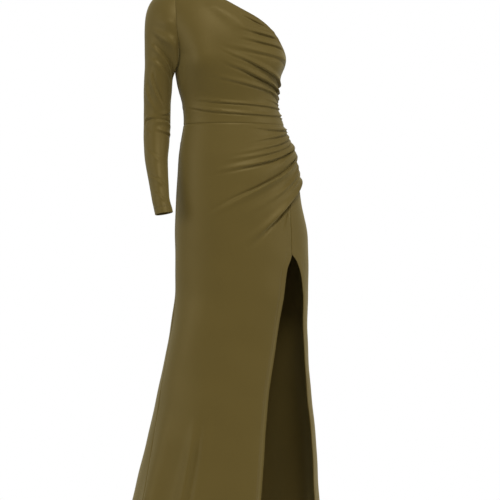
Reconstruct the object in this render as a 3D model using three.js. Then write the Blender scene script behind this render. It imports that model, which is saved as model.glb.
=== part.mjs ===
// A floor-length evening dress in stretch jersey, worn: one shoulder, one long
// sleeve, a bodice and a skirt gathered into the left side seam, and a slit.
// Millimetres, +Z up, the front faces -Y and the wearer's left side is +X.
// Inside the group, x and z are measured from the middle of the waist seam.
import * as THREE from "three";

// The cloth
const WALL = 1.6; // thickness of the cloth wall
const SEAM = 0.3; // gap between two pieces at a seam
const DEGREE = Math.PI / 180;

// The heights that drive the dress, from the waist seam
const HEM = -1200; // floor-length hem
const WAIST = -10; // height of the waist seam
const CHEST = 190; // above this the body closes over towards the shoulders
const UNDERARM_RIGHT = 132; // foot of the armhole, under the sleeve
const NECK_SIDE = 364; // where the neckline meets the shoulder seam
const SHOULDER_SLOPE = 0.33; // fall of the shoulder line for each mm outwards
const SHOULDER_BACK = 6; // the shoulder seam lies this far behind the middle
const NECK_HALF = 53; // half the width of the neck at its foot
const SIDE_ANGLE = 90; // side seams, in degrees round the body from the centre front
const SHOULDER_POINT = -45; // angle at which the armhole meets the shoulder seam
const NECK_POINT = -19; // angle at which the neckline meets the shoulder seam
const BODY_RADIUS = 130; // turns an angle on the body into a distance for the folds

// Sections of the body, one a row: middle of the section, half its width, how far
// it reaches to the front and the back, and how square it is (2 is an ellipse).
const BODY = [
  { z: -1200, middle: -40, half: 286, front: 196, back: 236, square: 2.0 },
  { z: -983, middle: -10, half: 246, front: 166, back: 196, square: 2.0 },
  { z: -853, middle: 3, half: 226, front: 150, back: 176, square: 2.0 },
  { z: -697, middle: 13, half: 201, front: 134, back: 156, square: 2.05 },
  { z: -541, middle: 24, half: 181, front: 122, back: 140, square: 2.1 },
  { z: -437, middle: 32.5, half: 174.5, front: 117, back: 134, square: 2.1 },
  { z: -307, middle: 31, half: 174, front: 113, back: 134, square: 2.1 },
  { z: -203, middle: 24, half: 164, front: 110, back: 136, square: 2.1 },
  { z: -99, middle: 19, half: 154, front: 104, back: 118, square: 2.1 },
  { z: -47, middle: 14, half: 142, front: 98, back: 98, square: 2.1 },
  { z: 0, middle: 9, half: 130, front: 93, back: 84, square: 2.1 },
  { z: 40, middle: 1, half: 125, front: 92, back: 80, square: 2.15 },
  { z: 100, middle: -6, half: 133, front: 104, back: 88, square: 2.2 },
  { z: 160, middle: -1, half: 147, front: 114, back: 96, square: 2.25 },
  { z: 190, middle: -7, half: 150, front: 114, back: 99, square: 2.3 },
  { z: 250, middle: -18, half: 160, front: 112, back: 100, square: 2.3 },
  { z: 300, middle: -28, half: 158, front: 110, back: 100, square: 2.3 },
  { z: 364, middle: -36, half: 146, front: 108, back: 100, square: 2.3 },
];

// The fullness that the cut gives the bodice, one a row
const FULLNESS = [
  { angle: -36, z: 150, height: 15, across: 52, up: 58 },
  { angle: 40, z: 150, height: 15, across: 52, up: 58 },
];

// The neckline's height at each angle round the body, front then back
const NECKLINE = [
  { angle: -19, z: 364 },
  { angle: -8, z: 327 },
  { angle: 1, z: 301 },
  { angle: 10, z: 282 },
  { angle: 24, z: 259 },
  { angle: 34, z: 240 },
  { angle: 46, z: 214 },
  { angle: 56, z: 187 },
  { angle: 65, z: 163 },
  { angle: 78, z: 146 },
  { angle: 90, z: 140 },
  { angle: 115, z: 144 },
  { angle: 145, z: 174 },
  { angle: 175, z: 240 },
  { angle: 188, z: 292 },
  { angle: 199, z: 364 },
];

// The left edge of the skirt's front: from the side seam round to the seam of the
// side panel, down it to the top of the slit, and down the slit to the hem
const SEAM_START = -155; // the front's edge leaves the left side seam here
const SEAM_TURN = -205; // and turns down here
const SLIT_TOP = -343;
const FRONT_EDGE = [
  { z: -1200, angle: 12 },
  { z: -935, angle: 14 },
  { z: -712, angle: 18 },
  { z: -562, angle: 25 },
  { z: -461, angle: 29 },
  { z: -384, angle: 33 },
  { z: -343, angle: 39 },
  { z: -282, angle: 40 },
  { z: -205, angle: 46 },
  { z: -180, angle: 66 },
  { z: -155, angle: 90 },
];

// The front edge of the side panel below the slit's top
const REAR_EDGE = [
  { z: -1200, angle: 64 },
  { z: -900, angle: 63 },
  { z: -566, angle: 60 },
  { z: -462, angle: 58 },
  { z: -410, angle: 55 },
  { z: -365, angle: 47 },
  { z: -343, angle: 39 },
];

// The skirt's right side seam: straight down over the hip, then it swings forwards
// as the skirt widens
const RIGHT_SEAM = [
  { z: -1200, angle: -60 },
  { z: -965, angle: -67 },
  { z: -780, angle: -77 },
  { z: -622, angle: -85 },
  { z: -457, angle: -89.4 },
  { z: -343, angle: -90 },
];

// A curve through a table's rows, level at its turning points
function through(rows, along, column) {
  const sorted = [...rows].sort((p, q) => p[along] - q[along]);
  const at = sorted.map((row) => row[along]);
  const value = sorted.map((row) => row[column]);
  const last = at.length - 1;
  const rise = at.slice(1).map((_, i) => (value[i + 1] - value[i]) / (at[i + 1] - at[i]));
  const slope = at.map((_, i) => {
    if (i === 0) return rise[0];
    if (i === last) return rise[last - 1];
    if (rise[i - 1] * rise[i] <= 0) return 0;
    return (2 * rise[i - 1] * rise[i]) / (rise[i - 1] + rise[i]);
  });
  return (x) => {
    if (x <= at[0]) return value[0];
    if (x >= at[last]) return value[last];
    let i = 0;
    while (x > at[i + 1]) i += 1;
    const step = at[i + 1] - at[i];
    const t = (x - at[i]) / step;
    const u = 1 - t;
    const start = value[i] * (1 + 2 * t) * u * u + value[i + 1] * (1 + 2 * u) * t * t;
    return start + step * (slope[i] * t * u * u - slope[i + 1] * u * t * t);
  };
}

// The arm inside the sleeve: middle of each section, half its width and its depth
const ARM = [
  { z: 240, x: -183, y: 6, half: 39.5, deep: 46 },
  { z: 150, x: -184.5, y: 8, half: 37.5, deep: 44 },
  { z: 83, x: -187, y: 14, half: 36.5, deep: 41 },
  { z: 40, x: -188, y: 19, half: 34.5, deep: 40 },
  { z: 5, x: -188, y: 21, half: 34.5, deep: 39 },
  { z: -47, x: -190.5, y: 14, half: 33.5, deep: 39 },
  { z: -99, x: -193.5, y: -3, half: 30, deep: 35 },
  { z: -151, x: -191.5, y: -25, half: 25.5, deep: 31 },
  { z: -203, x: -189, y: -46, half: 22.5, deep: 27 },
  { z: -234, x: -183.4, y: -58, half: 22.1, deep: 26 },
  { z: -250, x: -180.9, y: -64.2, half: 21.8, deep: 25.5 },
];
const CUFF = -240; // middle of the sleeve's open end
const CUFF_DIP = 6; // how far the cuff hangs lower in front than at the sides
const CAP_TOP = 225; // the cap runs into the arm at this height on the outside
const CAP_FOOT = 100; // and at this height under the arm
const CAP_START = 1.4; // how full the cap leaves the armhole
const CAP_END = 1.5; // and how full it comes down to the arm
const ARM_RADIUS = 38; // turns an angle round the arm into a distance for the folds

// Folds on the body. Each runs over three points, in degrees round the body and mm
// above the waist seam, from its root at the left side seam to its tip. height is
// how far it stands up, root and tip are its half widths, and drop is the depth of
// the crease beside it: below the fold, or above it where drop is negative.
const BODY_FOLDS = [
  { path: [66, 216, 22, 253, 8, 276], height: 3.5, root: 9, tip: 6, drop: 1.5 },
  { path: [50, 200, 21, 223, 4, 232], height: 2.5, root: 8, tip: 7, drop: 1.5 },
  { path: [62, 178, 20, 201, 2, 209], height: 2.5, root: 8, tip: 7, drop: 1.5 },
  { path: [66, 140, 10, 178, -12, 194], height: 2.5, root: 9, tip: 8, drop: 1.5 },
  { path: [82, 98, 18, 142, -14, 180], height: 4.5, root: 9, tip: 9, drop: 2.5 },
  { path: [86, 80, 22, 115, -14, 150], height: 5, root: 9, tip: 9, drop: 3.5 },
  { path: [88, 66, 4, 97, -34, 122], height: 4, root: 8, tip: 10, drop: 2 },
  { path: [88, 44, -1, 52, -62, 66], height: 3, root: 8, tip: 9, drop: 1.5 },
  { path: [89, 24, 8, 18, -80, 36], height: 3.5, root: 8, tip: 10, drop: 1.5 },
  { path: [89, -12, 40, -14, 4, -14], height: 4, root: 8, tip: 8, drop: 2 },
  { path: [89, -30, 24, -48, 0, -66], height: 4, root: 8, tip: 9, drop: 2.5 },
  { path: [89, -48, 18, -73, -24, -98], height: 4.5, root: 8, tip: 11, drop: 2.5 },
  { path: [89, -66, 10, -109, -32, -134], height: 6.5, root: 9, tip: 13, drop: 4 },
  { path: [89, -84, 45, -103, 30, -140], height: 4, root: 8, tip: 9, drop: 2 },
  { path: [89, -102, 14, -178, -34, -252], height: 7.5, root: 10, tip: 15, drop: -3.5 },
  { path: [89, -128, 42, -172, 24, -212], height: 5, root: 9, tip: 11, drop: -2.5 },
  { path: [89, -146, 44, -196, -6, -326], height: 8, root: 12, tip: 17, drop: 4.5 },
];

// Folds on the sleeve, in degrees round the arm from its outside to the front
const SLEEVE_FOLDS = [
  { path: [98, 214, 130, 176, 158, 118], height: 4.5, root: 11, tip: 10, drop: -2 },
  { path: [86, 176, 112, 140, 150, 104], height: 3.5, root: 11, tip: 10, drop: -1.5 },
  { path: [60, 112, 86, 58, 130, 12], height: 3.5, root: 11, tip: 10, drop: -2 },
  { path: [30, -2, 90, -4, 165, -10], height: 4, root: 9, tip: 10, drop: -3 },
  { path: [40, -28, 100, -31, 165, -34], height: 3, root: 9, tip: 10, drop: -1.5 },
  { path: [20, -140, 84, -155, 140, -168], height: 2, root: 10, tip: 9, drop: -1 },
  { path: [-40, -188, 50, -202, 90, -220], height: 2.5, root: 10, tip: 9, drop: -1 },
];

// Waves of the skirt: each comes in below a height, and is deepest at the hem
const WAVES = [
  { angle: -30, top: -640, depth: 13, width: 9 },
  { angle: -62, top: -560, depth: 14, width: 11 },
  { angle: -140, top: -420, depth: 19, width: 13 },
  { angle: -176, top: -380, depth: 20, width: 13 },
  { angle: 148, top: -420, depth: 19, width: 13 },
  { angle: 116, top: -520, depth: 14, width: 10 },
];

const radians = (degrees) => degrees * DEGREE;
const clamp = (x, low, high) => Math.min(high, Math.max(low, x));
const smooth = (x) => clamp(x, 0, 1) ** 2 * (3 - 2 * clamp(x, 0, 1));
const mix = (a, b, t) => a + (b - a) * t;
const power = (x, p) => Math.sign(x) * Math.abs(x) ** p;

const section = {
  middle: through(BODY, "z", "middle"),
  half: through(BODY, "z", "half"),
  front: through(BODY, "z", "front"),
  back: through(BODY, "z", "back"),
  square: through(BODY, "z", "square"),
};
const arm = {
  x: through(ARM, "z", "x"),
  y: through(ARM, "z", "y"),
  half: through(ARM, "z", "half"),
  deep: through(ARM, "z", "deep"),
};
const neckline = through(NECKLINE, "angle", "z");
const frontEdge = through(FRONT_EDGE, "z", "angle");
const rearEdge = through(REAR_EDGE, "z", "angle");
const rightSeam = through(RIGHT_SEAM, "z", "angle");

// Height of the shoulder line over a place across the body
function shoulderLine(x) {
  const out = Math.hypot(x - section.middle(NECK_SIDE), NECK_HALF / 2);
  return NECK_SIDE - SHOULDER_SLOPE * (out - NECK_HALF);
}

// The body's section at a height: the point at an angle round it
function ring(angle, z) {
  const p = 2 / section.square(z);
  const across = power(Math.sin(radians(angle)), p);
  const ahead = power(Math.cos(radians(angle)), p);
  const depth = ahead > 0 ? section.front(z) : section.back(z);
  return [section.middle(z) + section.half(z) * across, -depth * ahead];
}

// Height of the body at a climb up its side: above the chest the climb bends over
// to the shoulder line, and reaches it after a quarter turn
function over(angle, climb) {
  if (climb <= CHEST) return { z: climb, closing: 1 };
  let z = Math.min(climb, NECK_SIDE);
  let closing = 1;
  for (let i = 0; i < 6; i += 1) {
    const rise = shoulderLine(ring(angle, z)[0]) - CHEST;
    const turn = (climb - CHEST) / rise;
    z = CHEST + rise * Math.sin(turn);
    closing = Math.cos(turn);
  }
  return { z, closing };
}

// The climb that reaches a height at an angle round the body
function climbTo(angle, z) {
  if (z <= CHEST) return z;
  const rise = shoulderLine(ring(angle, z)[0]) - CHEST;
  return CHEST + rise * Math.asin(clamp((z - CHEST) / rise, 0, 1));
}

// The climb at which an angle round the body reaches the shoulder seam
function climbToSeam(angle) {
  let z = NECK_SIDE;
  for (let i = 0; i < 8; i += 1) z = shoulderLine(ring(angle, z)[0]);
  return CHEST + (z - CHEST) * (Math.PI / 2);
}

// The body without folds, at an angle and a climb
function bodyPoint(angle, climb) {
  const { z, closing } = over(angle, climb);
  const [x, y] = ring(angle, z);
  return new THREE.Vector3(x, SHOULDER_BACK + (y - SHOULDER_BACK) * closing, z);
}

// The outward normal of a surface given as a function of two values, the first
// running round the piece and the second up it
function normalOf(surface, round, up, step) {
  const [dr, du] = step;
  const along = surface(round + dr, up).sub(surface(round - dr, up));
  const rising = surface(round, up + du).sub(surface(round, up - du));
  return along.cross(rising).normalize();
}

// A fold's path as points from its root to its tip, in mm round and up
function pathOf(fold, perDegree) {
  const [a0, z0, a1, z1, a2, z2] = fold.path;
  const bend = [2 * a1 - (a0 + a2) / 2, 2 * z1 - (z0 + z2) / 2];
  return Array.from({ length: 13 }, (_, i) => {
    const t = i / 12;
    const weights = [(1 - t) ** 2, 2 * t * (1 - t), t ** 2];
    const angle = weights[0] * a0 + weights[1] * bend[0] + weights[2] * a2;
    return [angle * perDegree, weights[0] * z0 + weights[1] * bend[1] + weights[2] * z2];
  });
}

// Where a place lies along a path, from 0 to 1, and how far above it or below it
function alongPath(path, u, z) {
  let best = { apart: Infinity, t: 0 };
  for (let i = 0; i + 1 < path.length; i += 1) {
    const [u0, z0] = path[i];
    const [du, dz] = [path[i + 1][0] - u0, path[i + 1][1] - z0];
    const t = clamp(((u - u0) * du + (z - z0) * dz) / (du * du + dz * dz), 0, 1);
    const apart = Math.hypot(u - u0 - t * du, z - z0 - t * dz);
    if (apart >= best.apart) continue;
    const above = Math.sign((z - z0) * Math.abs(du) - (u - u0) * dz * Math.sign(du || 1));
    best = { apart, t: (i + t) / (path.length - 1), side: above };
  }
  return { t: best.t, above: best.apart * best.side };
}

const bump = (x) => Math.exp(-1.4 * x * x);

// How far a table of folds moves the cloth out at a place
function foldRelief(folds, perDegree) {
  const drawn = folds.map((fold) => ({ ...fold, line: pathOf(fold, perDegree) }));
  return (angle, z) => {
    let out = 0;
    for (const { line, height, root, tip, drop } of drawn) {
      const { t, above } = alongPath(line, angle * perDegree, z);
      const width = mix(root, tip, t);
      const strength = smooth(0.5 + t * 3) * (1 - smooth((t - 0.3) / 0.7));
      const crease = above + Math.sign(drop) * 1.7 * width;
      out += strength * height * bump(above / width);
      out -= strength * Math.abs(drop) * bump(crease / (0.8 * width));
    }
    return out;
  };
}

const bodyFolds = foldRelief(BODY_FOLDS, BODY_RADIUS * DEGREE);
const sleeveFolds = foldRelief(SLEEVE_FOLDS, ARM_RADIUS * DEGREE);

// How far the cloth of the bodice and the skirt stands out from the body
function bodyRelief(angle, z) {
  const turned = angle > 200 ? angle - 360 : angle;
  let out = bodyFolds(turned, z);
  for (const full of FULLNESS) {
    const across = ((turned - full.angle) * BODY_RADIUS * DEGREE) / full.across;
    out += full.height * bump(Math.hypot(across, (z - full.z) / full.up));
  }
  for (const wave of WAVES) {
    const apart = ((angle - wave.angle + 540) % 360) - 180;
    const grown = smooth((wave.top - z) / (wave.top - HEM));
    out += wave.depth * grown * bump(apart / wave.width);
  }
  return out;
}

// The cloth at a place on the body: the point on its outer face and the normal
function clothAt(angle, climb) {
  const point = bodyPoint(angle, climb);
  const normal = normalOf(bodyPoint, angle, climb, [0.5, 1]);
  point.addScaledVector(normal, bodyRelief(angle, point.z));
  return { point, normal };
}

// The armhole: an oval round the shoulder point, in degrees from its top and
// first down its front. It gives an angle and a climb on the body.
function armhole(turn) {
  const infront = turn <= 180;
  const beta = radians(infront ? 90 - turn / 2 : (turn - 180) / 2);
  const reach = (SIDE_ANGLE + SHOULDER_POINT) * Math.sin(beta);
  const top = climbToSeam(SHOULDER_POINT);
  const climb = top - (top - UNDERARM_RIGHT) * Math.cos(beta);
  return { angle: infront ? -SIDE_ANGLE + reach : 360 - SIDE_ANGLE - reach, climb };
}

// The arm's section at a height, square to the arm, at an angle round it
function armPoint(turn, z) {
  const middle = (h) => new THREE.Vector3(arm.x(h), arm.y(h), h);
  const down = middle(z - 4).sub(middle(z + 4)).normalize();
  const out = new THREE.Vector3(-1, 0, 0).addScaledVector(down, down.x).normalize();
  const ahead = new THREE.Vector3().crossVectors(out, down).normalize();
  const point = middle(z).addScaledVector(out, arm.half(z) * Math.cos(radians(turn)));
  return point.addScaledVector(ahead, arm.deep(z) * Math.sin(radians(turn)));
}

// The sleeve without folds. Its cap, from 0 at the armhole to 1 on the arm, is a
// curve for each angle round it, and from 1 to 2 the sleeve follows the arm.
function sleevePoint(turn, down) {
  const place = radians(turn);
  const landing = mix(CAP_FOOT, CAP_TOP, (1 + Math.cos(place)) / 2);
  const cuff = CUFF - CUFF_DIP * Math.sin(place);
  if (down >= 1) return armPoint(turn, mix(landing, cuff, down - 1));
  const seam = armhole(((turn % 360) + 360) % 360);
  const from = clothAt(seam.angle, seam.climb).point;
  const to = armPoint(turn, landing);
  const apart = from.distanceTo(to);
  const leave = new THREE.Vector3(
    -0.58 - 0.42 * Math.cos(place),
    -0.12 * Math.sin(place),
    -0.33 - 0.335 * (1 - Math.cos(place)),
  );
  leave.normalize();
  const arrive = armPoint(turn, landing - 4).sub(to).normalize();
  from.addScaledVector(leave, SEAM);
  const t = Math.max(down, 0);
  const point = new THREE.Vector3();
  point.addScaledVector(from, (1 + 2 * t) * (1 - t) ** 2);
  point.addScaledVector(to, t ** 2 * (3 - 2 * t));
  point.addScaledVector(leave, CAP_START * apart * t * (1 - t) ** 2);
  return point.addScaledVector(arrive, -CAP_END * apart * t ** 2 * (1 - t));
}

// The sleeve's cloth at a place: the point on its outer face and the normal
function sleeveAt(turn, down) {
  const point = sleevePoint(turn, down);
  const normal = normalOf(sleevePoint, turn, down, [2, 0.01]).negate();
  const clear = smooth(down / 0.3); // folds die out at the armhole seam
  const wrapped = turn > 270 ? turn - 360 : turn;
  point.addScaledVector(normal, clear * sleeveFolds(wrapped, point.z));
  return { point, normal };
}

// The two walls that meet at the armhole share a mitred edge where they bend over
// a ridge, and keep their own directions where they meet in a valley
function mitreAt(turn) {
  const seam = armhole(turn);
  const body = clothAt(seam.angle, seam.climb).normal;
  const sleeve = sleeveAt(turn, 0).normal;
  const agree = body.dot(sleeve);
  const shared = body.clone().add(sleeve).divideScalar(Math.max(1 + agree, 0.5));
  const share = smooth(agree / 0.5);
  return { body: body.lerp(shared, share), sleeve: sleeve.lerp(shared, share) };
}

// A closed wall from rows of places, its rows going up and its columns running
// round anticlockwise from above. round is true where the columns meet again.
function wall(name, rows, round = false) {
  const [high, wide] = [rows.length, rows[0].length];
  const positions = [];
  for (const face of [0, WALL]) {
    for (const { point, normal } of rows.flat()) {
      positions.push(...point.clone().addScaledVector(normal, -face).toArray());
    }
  }
  const outer = (i, j) => i * wide + (j % wide);
  const inner = (i, j) => high * wide + outer(i, j);
  const faces = [];
  const quad = (a, b, c, d) => faces.push(a, b, c, a, c, d);
  const columns = round ? wide : wide - 1;
  for (let i = 0; i + 1 < high; i += 1) {
    for (let j = 0; j < columns; j += 1) {
      quad(outer(i, j), outer(i, j + 1), outer(i + 1, j + 1), outer(i + 1, j));
      quad(inner(i, j), inner(i + 1, j), inner(i + 1, j + 1), inner(i, j + 1));
    }
  }
  for (let j = 0; j < columns; j += 1) {
    const top = high - 1;
    quad(inner(0, j), inner(0, j + 1), outer(0, j + 1), outer(0, j));
    quad(outer(top, j), outer(top, j + 1), inner(top, j + 1), inner(top, j));
  }
  for (let i = 0; i + 1 < high && !round; i += 1) {
    const last = wide - 1;
    quad(outer(i, 0), outer(i + 1, 0), inner(i + 1, 0), inner(i, 0));
    quad(outer(i + 1, last), outer(i, last), inner(i, last), inner(i + 1, last));
  }
  const geometry = new THREE.BufferGeometry();
  geometry.setAttribute("position", new THREE.Float32BufferAttribute(positions, 3));
  geometry.setIndex(faces);
  geometry.computeVertexNormals();
  const mesh = new THREE.Mesh(geometry, JERSEY);
  mesh.name = name;
  return mesh;
}

const JERSEY = new THREE.MeshStandardMaterial({
  color: "#62562e",
  roughness: 0.85,
  metalness: 0,
  side: THREE.DoubleSide,
});

// Evenly spaced values from one to another, both included
function spaced(from, to, count) {
  return Array.from({ length: count + 1 }, (_, i) => mix(from, to, i / count));
}

const EDGE = 0.08; // half a seam's gap at the side seams, in degrees
const ARMHOLE_STEPS = 11; // columns from the shoulder to the underarm
const BODICE_ROWS = 24;

// Angles of the bodice's columns round the armhole, and the turn round the armhole
// that each one stands at
const armholeTurns = spaced(180, 0, ARMHOLE_STEPS);
const frontColumns = [
  ...armholeTurns.slice(0, -1).map((turn) => ({ turn })),
  ...spaced(SHOULDER_POINT, NECK_POINT, 3).map((angle) => ({ angle, seam: true })),
  ...spaced(NECK_POINT, SIDE_ANGLE - EDGE, 15).slice(1).map((angle) => ({ angle })),
];
const backColumns = [
  ...spaced(SIDE_ANGLE + EDGE, 180 - NECK_POINT, 11).map((angle) => ({ angle })).slice(0, -1),
  ...spaced(180 - NECK_POINT, 180 - SHOULDER_POINT, 3).map((angle) => ({ angle, seam: true })),
  ...armholeTurns.map((turn) => ({ turn: 360 - turn })).reverse().slice(1),
];

// One column of the bodice from the waist seam to its top edge
function bodiceColumn({ angle, seam, turn }) {
  const hole = turn === undefined ? null : armhole(turn);
  const side = hole ? hole.angle : angle;
  const place = clamp(side, -SIDE_ANGLE + EDGE, 360 - SIDE_ANGLE - EDGE);
  let top = climbTo(place, neckline(place));
  if (seam) top = climbToSeam(place) - SEAM / 2;
  if (hole) top = hole.climb;
  const column = spaced(WAIST + SEAM / 2, top, BODICE_ROWS).map((climb) => clothAt(place, climb));
  const holeTurn = place === SHOULDER_POINT ? 0 : turn;
  if (holeTurn !== undefined) column[BODICE_ROWS].normal = mitreAt(holeTurn).body;
  return column;
}

const turned = (columns) => columns[0].map((_, i) => columns.map((column) => column[i]));

const bodiceFront = wall("bodice_front", turned(frontColumns.map(bodiceColumn)));
const bodiceBack = wall("bodice_back", turned(backColumns.map(bodiceColumn)));

// The sleeve: rings from the cuff up to the armhole
const SLEEVE_RINGS = [...spaced(2, 1, 21).slice(0, -1), ...spaced(1, 0, 11)];
const sleeveTurns = [
  ...armholeTurns.slice().reverse().slice(0, -1),
  ...armholeTurns.map((turn) => 360 - turn).slice(0, -1),
];
const sleeveRows = SLEEVE_RINGS.map((down) => sleeveTurns.map((turn) => sleeveAt(turn, down)));
sleeveRows.at(-1).forEach((station, j) => {
  station.normal = mitreAt(sleeveTurns[j]).sleeve;
});
const sleeve = wall("sleeve", sleeveRows, true);

// Heights of the skirt's rows from the hem up, close together over the gathers and
// the same on every panel, so that the panels' edges match
const SKIRT_ROWS = [
  ...spaced(HEM, SLIT_TOP, 13).slice(0, -1),
  ...spaced(SLIT_TOP, SEAM_TURN, 11).slice(0, -1),
  ...spaced(SEAM_TURN, SEAM_START, 5).slice(0, -1),
  ...spaced(SEAM_START, WAIST - SEAM / 2, 13),
];

const skirtFront = wall("skirt_front", SKIRT_ROWS.map((z) => {
  const edge = frontEdge(z) - (z < SEAM_START ? 2 * EDGE : EDGE);
  return spaced(0, 1, 29).map((f) => clothAt(mix(rightSeam(z) + EDGE, edge, f), z));
}));

const skirtBack = wall("skirt_back", SKIRT_ROWS.map((z) => (
  spaced(SIDE_ANGLE + EDGE, 360 + rightSeam(z) - EDGE, 20).map((angle) => clothAt(angle, z))
)));

// The side panel hangs from the front's edge, so its columns start where the
// front's rows end
const panelColumns = SKIRT_ROWS.filter((z) => z >= SEAM_TURN && z <= SEAM_START);
const panelRows = SKIRT_ROWS.filter((z) => z <= SEAM_TURN);
const skirtSide = wall("skirt_side", panelRows.map((row) => {
  const share = (row - HEM) / (SEAM_TURN - HEM);
  return panelColumns.map((head) => {
    const z = mix(HEM, head, share);
    const front = z < SLIT_TOP ? rearEdge(z) : frontEdge(Math.min(z, SEAM_TURN));
    const across = (frontEdge(head) - frontEdge(SEAM_TURN)) / (SIDE_ANGLE - frontEdge(SEAM_TURN));
    return clothAt(mix(front + EDGE, SIDE_ANGLE - EDGE, across), z - 2 * SEAM * share);
  });
}));

const dress = new THREE.Group();
dress.name = "one_shoulder_dress";
dress.add(bodiceFront, bodiceBack, sleeve, skirtFront, skirtSide, skirtBack);

// The wearer's right shoulder holds the dress up: the part's origin is under the
// cloth there, in the middle of the shoulder seam
const HOLD_ANGLE = (SHOULDER_POINT + NECK_POINT) / 2;
const hold = clothAt(HOLD_ANGLE, climbToSeam(HOLD_ANGLE));
dress.position.copy(hold.point.addScaledVector(hold.normal, -WALL)).negate();

export default dress;
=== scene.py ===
"""An olive jersey evening dress with one shoulder, one long sleeve and a slit.

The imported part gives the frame. Each cloth panel is made here as a fine sheet with
its folds, hems and seams, and stands for the plain wall of the same name. Sizes in
the tables are millimetres, heights are measured from the narrowest part of the waist,
and angles go round the body in degrees: 0 is the front and 90 the wearer's left side.
"""

import math

import bpy
import numpy as np
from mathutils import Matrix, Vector


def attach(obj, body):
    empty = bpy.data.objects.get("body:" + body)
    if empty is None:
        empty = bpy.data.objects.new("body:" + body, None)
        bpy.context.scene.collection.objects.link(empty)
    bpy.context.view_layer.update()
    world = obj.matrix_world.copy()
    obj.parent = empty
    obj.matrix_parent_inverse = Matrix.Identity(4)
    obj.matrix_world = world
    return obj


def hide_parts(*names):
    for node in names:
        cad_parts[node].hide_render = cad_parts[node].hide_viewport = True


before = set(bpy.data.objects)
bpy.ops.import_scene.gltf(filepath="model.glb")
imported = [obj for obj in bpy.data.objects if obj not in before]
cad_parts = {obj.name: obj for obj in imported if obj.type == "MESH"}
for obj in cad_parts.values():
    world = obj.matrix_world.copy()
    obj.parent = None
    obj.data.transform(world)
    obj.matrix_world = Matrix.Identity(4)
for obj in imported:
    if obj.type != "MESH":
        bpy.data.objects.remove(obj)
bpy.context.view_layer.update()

bl_info = {
    "name": "One-shoulder dress",
    "version": (1, 0, 0),
    "blender": (4, 5, 0),
    "location": "View3D > Sidebar > Dress",
    "description": "Makes the cloth panels, seams, hems and stage of an evening dress",
    "category": "Add Mesh",
}

MM = 0.001  # metres

# Heights
HEM = -1200.0
WAIST = -10.0  # the waist seam
CHEST = 190.0  # the body closes over towards the shoulder above this
UNDERARM_RIGHT = 132.0  # the armhole's lowest point
NECK_SIDE = 364.0  # the shoulder seam's end beside the neck
SLIT_TOP = -343.0
SEAM_START = -155.0  # the skirt front's left edge leaves the side seam here
SEAM_TURN = -205.0  # and turns down towards the slit here

# Angles
SIDE_ANGLE = 90.0
SHOULDER_POINT = -45.0  # the shoulder seam's outer end
NECK_POINT = -19.0  # the shoulder seam's end beside the neck

# The shoulder line, and round figures that turn degrees into mm
SHOULDER_SLOPE = 0.33  # its fall for each mm outwards
SHOULDER_BACK = 6.0  # how far behind the body's middle the line runs
NECK_HALF = 53.0  # half the width across the neck
BODY_PER_DEGREE = math.radians(130.0)
ARM_PER_DEGREE = math.radians(38.0)
WALL = 1.6  # wall of the frame's panels: the shoulder seam rests that far over the origin

# Sections of the body: height, middle, half width, front, back, squareness
BODY = (
    (-1200, -40, 286, 196, 236, 2.0),
    (-983, -10, 246, 166, 196, 2.0),
    (-853, 3, 226, 150, 176, 2.0),
    (-697, 13, 201, 134, 156, 2.05),
    (-541, 24, 181, 122, 140, 2.1),
    (-437, 32.5, 174.5, 117, 134, 2.1),
    (-307, 31, 174, 113, 134, 2.1),
    (-203, 24, 164, 110, 136, 2.1),
    (-99, 19, 154, 104, 118, 2.1),
    (-47, 14, 142, 98, 98, 2.1),
    (0, 9, 130, 93, 84, 2.1),
    (40, 1, 125, 92, 80, 2.15),
    (100, -6, 133, 104, 88, 2.2),
    (160, -1, 147, 114, 96, 2.25),
    (190, -7, 150, 114, 99, 2.3),
    (250, -18, 160, 112, 100, 2.3),
    (300, -28, 158, 110, 100, 2.3),
    (364, -36, 146, 108, 100, 2.3),
)

# The fullness that the cut gives the bodice: angle, height, how far out, across, up
FULLNESS = (
    (-36, 150, 15, 52, 58),
    (40, 150, 15, 52, 58),
)

# The neckline: angle round the body and height, front then back
NECKLINE = (
    (-19, 364),
    (-8, 327),
    (1, 301),
    (10, 282),
    (24, 259),
    (34, 240),
    (46, 214),
    (56, 187),
    (65, 163),
    (78, 146),
    (90, 140),
    (115, 144),
    (145, 174),
    (175, 240),
    (188, 292),
    (199, 364),
)

# The left edge of the skirt's front: height and angle round the body
FRONT_EDGE = (
    (-1200, 12),
    (-935, 14),
    (-712, 18),
    (-562, 25),
    (-461, 29),
    (-384, 33),
    (-343, 39),
    (-282, 40),
    (-205, 46),
    (-180, 66),
    (-155, 90),
)

# The front edge of the side panel below the slit's top
REAR_EDGE = (
    (-1200, 64),
    (-900, 63),
    (-566, 60),
    (-462, 58),
    (-410, 55),
    (-365, 47),
    (-343, 39),
)

# The skirt's right side seam: straight down over the hip, then it swings forwards
# as the skirt widens.
RIGHT_SEAM = (
    (-1200, -60),
    (-965, -67),
    (-780, -77),
    (-622, -85),
    (-457, -89.4),
    (-343, -90),
)

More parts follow.
